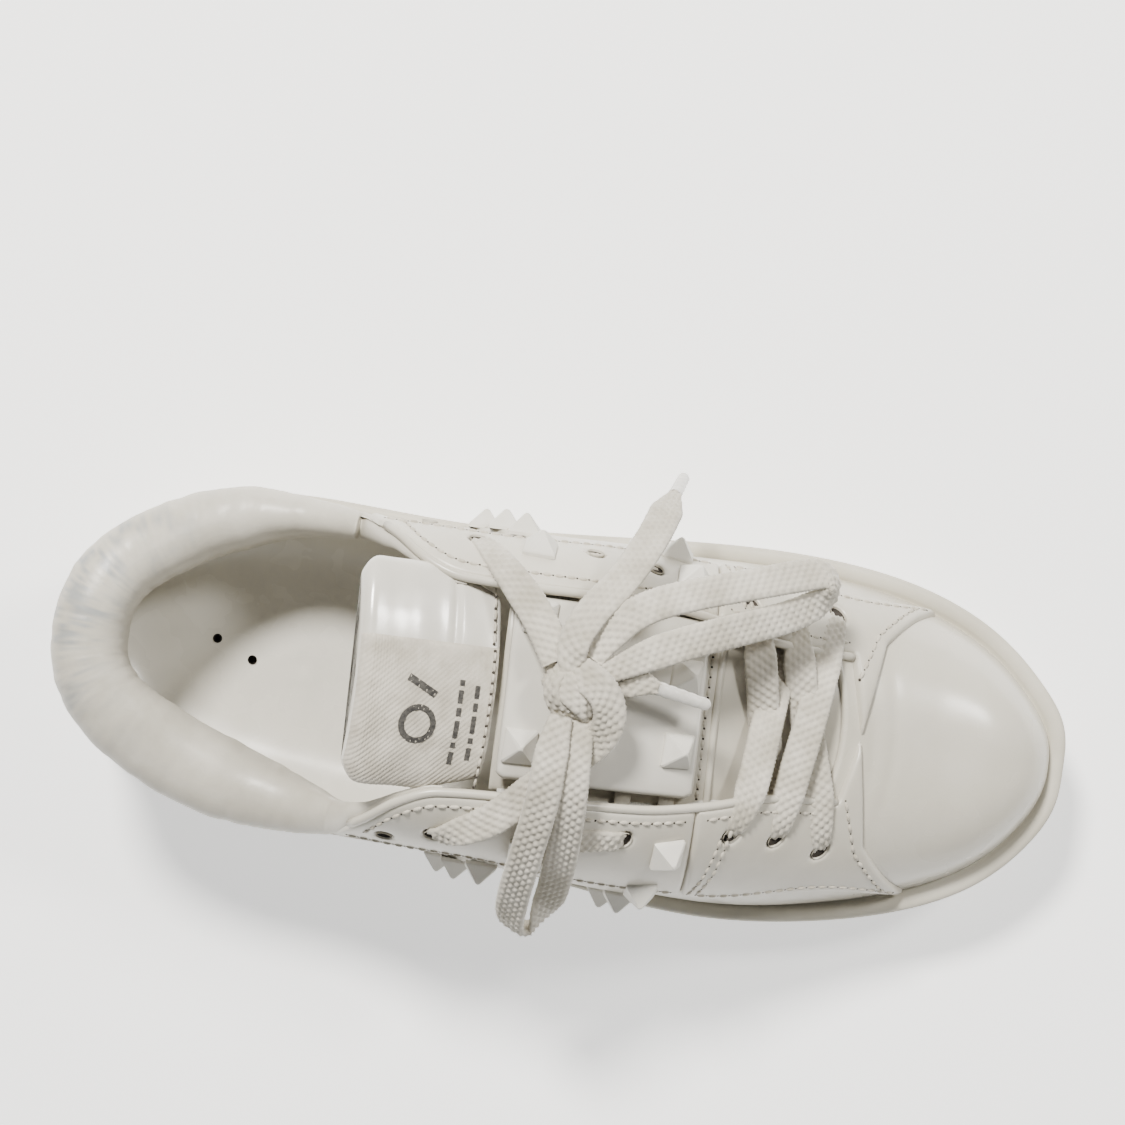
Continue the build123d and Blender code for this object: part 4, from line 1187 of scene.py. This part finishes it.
def spline_points(name, route):
    """Points along the smooth line of a route given in millimetres."""
    data = bpy.data.curves.new(name, "CURVE")
    data.dimensions = "3D"
    data.resolution_u = 24
    line = data.splines.new("NURBS")
    line.points.add(len(route) - 1)
    for point, place in zip(line.points, to_row(route)):
        point.co = (*place, 1)
    line.order_u = 3
    line.use_endpoint_u = True
    holder = bpy.data.objects.new(name, data)
    bpy.context.scene.collection.objects.link(holder)
    bpy.context.view_layer.update()
    mesh = bpy.data.meshes.new_from_object(holder)
    points = np.array([v.co for v in mesh.vertices]) * 1000 + (MIDDLE, 0, 0)
    bpy.data.objects.remove(holder)
    bpy.data.meshes.remove(mesh)
    bpy.data.curves.remove(data)
    return points


def ribbon(name, route, ups, widths, thicks, step=0.55, across=26, **facts):
    """A flat braid along a route. ups holds, by route point, the way its face looks there, or
    None; widths and thicks hold its width and thickness there."""
    path = resample(spline_points(name + "_line", route), step)
    count = len(path)
    t = unit(np.gradient(path, axis=0))
    frame_up = np.zeros((count, 3))
    start = np.array([0.0, 0.0, 1.0]) - t[0] * t[0][2]
    frame_up[0] = start / np.linalg.norm(start)
    for i in range(count - 1):
        v = path[i + 1] - path[i]
        c = v @ v
        r = frame_up[i] - (2 / c) * (v @ frame_up[i]) * v
        tt = t[i] - (2 / c) * (v @ t[i]) * v
        w = t[i + 1] - tt
        cc = max(w @ w, 1e-12)
        frame_up[i + 1] = r - (2 / cc) * (w @ r) * w
    along = np.arange(count) * np.linalg.norm(path[1] - path[0])
    keys, low = [], 0
    for place in np.asarray(route, float):
        high = min(count, low + int(70 / step))
        k = low + int(np.argmin(np.linalg.norm(path[low:high] - place, axis=1)))
        keys.append(k)
        low = k
    turns, at = [], []
    for k, up in zip(keys, ups):
        if up is None:
            continue
        up = np.asarray(up, float)
        side = np.cross(t[k], frame_up[k])
        turn = math.atan2(up @ side, up @ frame_up[k])
        if turns:
            turn += math.pi * round((turns[-1] - turn) / math.pi)
        turns.append(turn)
        at.append(along[k])
    turn = np.interp(along, at, turns)
    kernel = np.hanning(13)
    kernel /= kernel.sum()
    turn = np.convolve(np.pad(turn, 6, mode="edge"), kernel, "valid")
    up = frame_up * np.cos(turn)[:, None] + np.cross(t, frame_up) * np.sin(turn)[:, None]
    side = np.cross(up, t)
    width = np.interp(along, along[keys], widths) / 2
    thick = np.interp(along, along[keys], thicks) / 2
    u = np.linspace(-1, 1, across + 1)
    shape = np.maximum(0, 1 - np.abs(u) ** 6) ** 0.5
    rings = []
    for i in range(count):
        phase = along[i] / 2.5
        q = width[i] / 4.5 * 1.5
        one = 0.5 + 0.5 * np.cos(2 * math.pi * (phase + u * q))
        other = 0.5 + 0.5 * np.cos(2 * math.pi * (phase - u * q))
        plait = (0.62 * one * other + 0.16 * one - 0.1) * shape
        edge = 1 + 0.035 * math.cos(2 * math.pi * phase * 2)
        reach = side[i] * (u * width[i] * edge)[:, None]
        rise = up[i] * ((thick[i] + plait) * shape)[:, None]
        rings.append(np.vstack([path[i] + reach + rise, (path[i] + reach - rise)[-2:0:-1]]))
    piece = build(name, np.vstack(rings), capped(count, 2 * across, flip=True), lace_finish,
                  slot="lace_webbing", **facts)
    return piece, path


def eye(side, number, lift):
    x, y = EYES[side][number - 1]
    s, v = spot(side, x, y=y)
    p, n = skin(np.array([s]), np.array([v]), np.array([lift]))
    return p[0], n[0]


def bridge(x, y, lift):
    """A point over the instep, lift above the upper's skin."""
    return tongue_skin(x, y, 0.0, lift)


OUT, IN = OVERLAY + 1.0, -6.4
UP = (0, 0, 1)
route, ups, widths, thicks = [], [], [], []


def go(place, up, width=LACE_WIDTH, thick=LACE_THICK):
    route.append(tuple(float(q) for q in place))
    ups.append(up)
    widths.append(width)
    thicks.append(thick)


def go_over(*places, up=UP):
    for place in places:
        go(bridge(*place), up)


def go_through(side, number, inward):
    """Through an eyelet: outside to inside when inward, and otherwise back out."""
    for outside in (inward, not inward):
        p, n = eye(side, number, OUT if outside else IN)
        go(p, n if outside else None, 5.6 if outside else 4.6, 1.7 if outside else 2.2)


for place in ((143.5, 10, 109.5), (150.5, 8.5, 113.2), (157.5, 2, 111.5), (157.5, -6.5, 108.2),
              (151, -13, 104.6), (142.5, -20.5, 103)):
    go(place, (0.25, 0, 1) if place[0] > 156 else UP)
go_over((131.5, -32, 4.2))
go(bridge(122.5, -37, 3.4), UP, 8)
go_through("lateral", 6, True)
go_through("lateral", 5, False)
go(bridge(155.5, -35.5, 3.0), (0, -0.6, 1), 7.5)
go_through("lateral", 4, True)
go_through("lateral", 3, False)
go_over((199, -18, 3.2), (201.5, 2, -0.8), (204, 18, -6.5))
go_through("medial", 2, False)
go_over((208, 19, 3.0), (213.5, 0, -2.0), (219, -19, 3.0))
go_through("lateral", 1, True)
go_over((219.5, -12, -6.5), (218.5, 12, -6.5))
go_through("medial", 1, False)
go_over((216, 19, 3.2), (213, 0, 3.4), (209.5, -18, 3.2))
go_through("lateral", 2, True)
go_over((204.5, -17, -6.5), (201, 0, -5.0), (197, 19, 3.0))
go_through("medial", 3, True)
go_over((170, 36.5, -7.5), (143, 38, -8.0), up=None)
go_through("medial", 6, False)
go(bridge(126, 33.5, 4.0), UP, 8)
for place in ((131.5, 27.5, 104.5), (137.5, 20, 108.6), (142.5, 11, 110)):
    go(place, UP)
ribbon("lace_threaded", route, ups, widths, thicks, hides=("lace",))

BOW_MEDIAL = ((151.5, 12.5, 109.5), (156, 21.5, 110), (164, 28, 108.5), (177, 33, 103),
              (192, 37.5, 95), (204.5, 41.5, 88), (212.5, 43.5, 83.5), (215.2, 38, 82),
              (209.5, 34, 83.5), (202.5, 30, 87.8), (192, 26, 94.5), (180, 21.5, 101.5),
              (168, 16.5, 106.5), (156.5, 10, 109), (147.5, 7, 111), (145, 14.5, 112.2),
              (149, 24, 111.5), (157, 34, 106), (163.5, 46, 95), (167, 55.5, 82), (169, 60.5, 71))
BOW_LATERAL = ((145, -3, 110.5), (143.5, -12, 112), (143, -25, 109.5), (140, -41, 100),
               (137.5, -55, 85), (137.5, -63.5, 72), (144.5, -63.5, 66.5), (148, -54, 77),
               (149.5, -41, 94), (150, -25, 107), (149.5, -12, 110), (150.5, -1, 107),
               (155.5, 7.5, 105.5), (163, 8.5, 106), (169.5, 7, 103.5))


def bow(name, route, ups, narrow, aglet_node):
    widths = [narrow.get(i, LACE_WIDTH) for i in range(len(route))]
    thicks = [2.0 if w < 5 else LACE_THICK for w in widths]
    made, path = ribbon(name + "_braid", route, ups, widths, thicks, hides=(name,))
    aglet = make_aglet(aglet_node + "_tip", path, aglet_node)


def make_aglet(name, path, node):
    """A crimped film tip: slightly flattened, ribbed by the braid under it."""
    end, way = path[-1], path[-1] - path[-6]
    way = way / np.linalg.norm(way)
    side = np.cross(way, (0, 0, 1.0))
    side /= np.linalg.norm(side)
    up = np.cross(side, way)
    points, rows, sections = [], 30, 18
    for i in range(rows):
        w = i / (rows - 1)
        radius = 1.75 - 0.25 * w
        if w > 0.93:
            radius *= math.sqrt(max(0.03, 1 - ((w - 0.93) / 0.075) ** 2))
        for k in range(sections):
            a = 2 * math.pi * k / sections
            r = radius * (1 + 0.05 * math.cos(3 * a + w * 34))
            points.append(end + way * (w * 16.0 - 0.6) + side * (math.cos(a) * r * 1.08)
                          + up * (math.sin(a) * r * 0.85))
    return build(name, points, capped(rows, sections, flip=True), clear_film,
                 hides=(node,), slot="aglet_plastic")


medial_ups = [(-0.1, 0.1, 1), (0, 0.2, 1), (0, 0.25, 1), (0, 0.25, 1), (0, 0.3, 1), (0.2, 0.3, 1),
              (0.9, 0.4, 0.5), (1, -0.2, 0.3), (0.3, -0.3, 1), (0, -0.2, 1), (0, -0.15, 1),
              (0, -0.1, 1), UP, UP, UP, (-0.5, 0, 1), (0, 0.2, 1), (0, 0.4, 1), (0.1, 0.6, 1),
              (0.1, 0.7, 0.8), (0.1, 0.7, 0.8)]
bow("bow_medial", BOW_MEDIAL, medial_ups, {0: 6.0, 13: 6.5, 14: 6.0, 20: 3.2},
    "aglet_medial")
lateral_ups = [UP, (0, -0.1, 1), (0, -0.25, 1), (0, -0.6, 1), (-0.2, -0.7, 0.7), (-0.5, -0.9, 0.1),
               (0.3, -0.9, -0.3), (0.1, -0.8, 0.5), (0, -0.6, 0.8), (0, -0.3, 1), UP, UP, UP, UP, UP]
bow("bow_lateral", BOW_LATERAL, lateral_ups, {0: 6.0, 11: 6.5, 12: 7.5, 14: 3.2},
    "aglet_front")

# The knot: a band wrapped round the crossing, over a small core.
KNOT = np.array([147.0, 4.0, 106.6])
axis = np.array([0.42, 0.9, 0.0])
axis /= np.linalg.norm(axis)
cross = np.array([axis[1], -axis[0], 0])
RISING = np.array([0, 0, 1])
wrap_turns = np.linspace(-0.45 * math.pi, 1.85 * math.pi, 15)
wrap = [KNOT + cross * 7.6 * math.cos(a) + RISING * 5.6 * math.sin(a) + axis * (1.1 * (a - 2))
        for a in wrap_turns]
ribbon("bow_knot_wrap", wrap, [cross * math.cos(a) + RISING * math.sin(a) for a in wrap_turns],
       [8.0] * 15, [1.6] * 15, hides=("bow_knot",))
curl_turns = np.linspace(0.2 * math.pi, 1.7 * math.pi, 9)
curl = [KNOT + np.array([5.6 * math.cos(a), 6.4 * math.sin(a), 3.4 + 1.2 * math.cos(2 * a)])
        for a in curl_turns]
ribbon("bow_knot_turn", curl, [(math.cos(a) * 0.8, math.sin(a) * 0.8, 0.8) for a in curl_turns],
       [5.5] * 9, [1.8] * 9)

# ---- Inner boards that keep their own shape ----------------------------------------------------
for node, finish in (("midsole_insert", foam_finish), ("lasting_board", board_finish),
                     ("heel_counter", board_finish)):
    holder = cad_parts[node]
    if holder.material_slots:
        for each in holder.material_slots:
            each.material = finish
    else:
        holder.data.materials.append(finish)

# ---- Floor, light and camera ------------------------------------------------------------------
floor_mesh = bpy.data.meshes.new("floor")
floor_mesh.from_pydata([(-4, -4, -0.0004), (4, -4, -0.0004), (4, 4, -0.0004), (-4, 4, -0.0004)], [],
                       [(0, 1, 2, 3)])
floor_mesh.materials.append(material("floor_pale", (0.90, 0.90, 0.89), (0.93, 0.93, 0.92), 0.8, 3,
                                     (("noise", 300, 0.05, 0.2),)))
for node in floor_mesh.materials[0].node_tree.nodes:
    if node.type == "BSDF_PRINCIPLED":
        node.inputs["Emission Color"].default_value = (1.0, 1.0, 1.0, 1.0)
        node.inputs["Emission Strength"].default_value = 0.9
floor = bpy.data.objects.new("floor", floor_mesh)
bpy.context.scene.collection.objects.link(floor)


def area_light(name, place, target, size, power, colour):
    data = bpy.data.lights.new(name, "AREA")
    data.shape = "DISK"
    data.size, data.energy, data.color = size, power, colour
    lamp = bpy.data.objects.new(name, data)
    lamp.location = place
    lamp.rotation_euler = (Vector(target) - Vector(place)).to_track_quat("-Z", "Y").to_euler()
    bpy.context.scene.collection.objects.link(lamp)


area_light("key", (-0.42, 0.78, 1.3), (0.02, 0, 0.04), 0.3, 50, (1.0, 0.97, 0.92))
area_light("toe_light", (0.62, 0.5, 1.0), (0.1, 0, 0.04), 0.22, 9, (1.0, 0.98, 0.94))
area_light("fill", (0.2, -1.1, 0.9), (0, 0, 0.04), 1.0, 2.5, (0.96, 0.98, 1.0))
world = bpy.data.worlds.new("studio")
world.use_nodes = True
world.node_tree.nodes["Background"].inputs["Color"].default_value = (0.95, 0.955, 0.96, 1)
world.node_tree.nodes["Background"].inputs["Strength"].default_value = 0.15
bpy.context.scene.world = world

TURN = math.radians(6.81)
FOCAL, FRAME = 2464.5, 1125.0
camera_data = bpy.data.cameras.new("camera")
camera_data.sensor_width = 36.0
camera_data.lens = FOCAL * 36.0 / FRAME
camera_data.shift_x = 0.0004
camera_data.shift_y = 0.0911
camera_data.clip_start, camera_data.clip_end = 0.01, 20
camera = bpy.data.objects.new("camera", camera_data)
camera.location = (-0.0024, 0.0101, 0.750)
camera.rotation_euler = (0, 0, TURN)
bpy.context.scene.collection.objects.link(camera)
bpy.context.scene.camera = camera

bpy.context.view_layer.update()
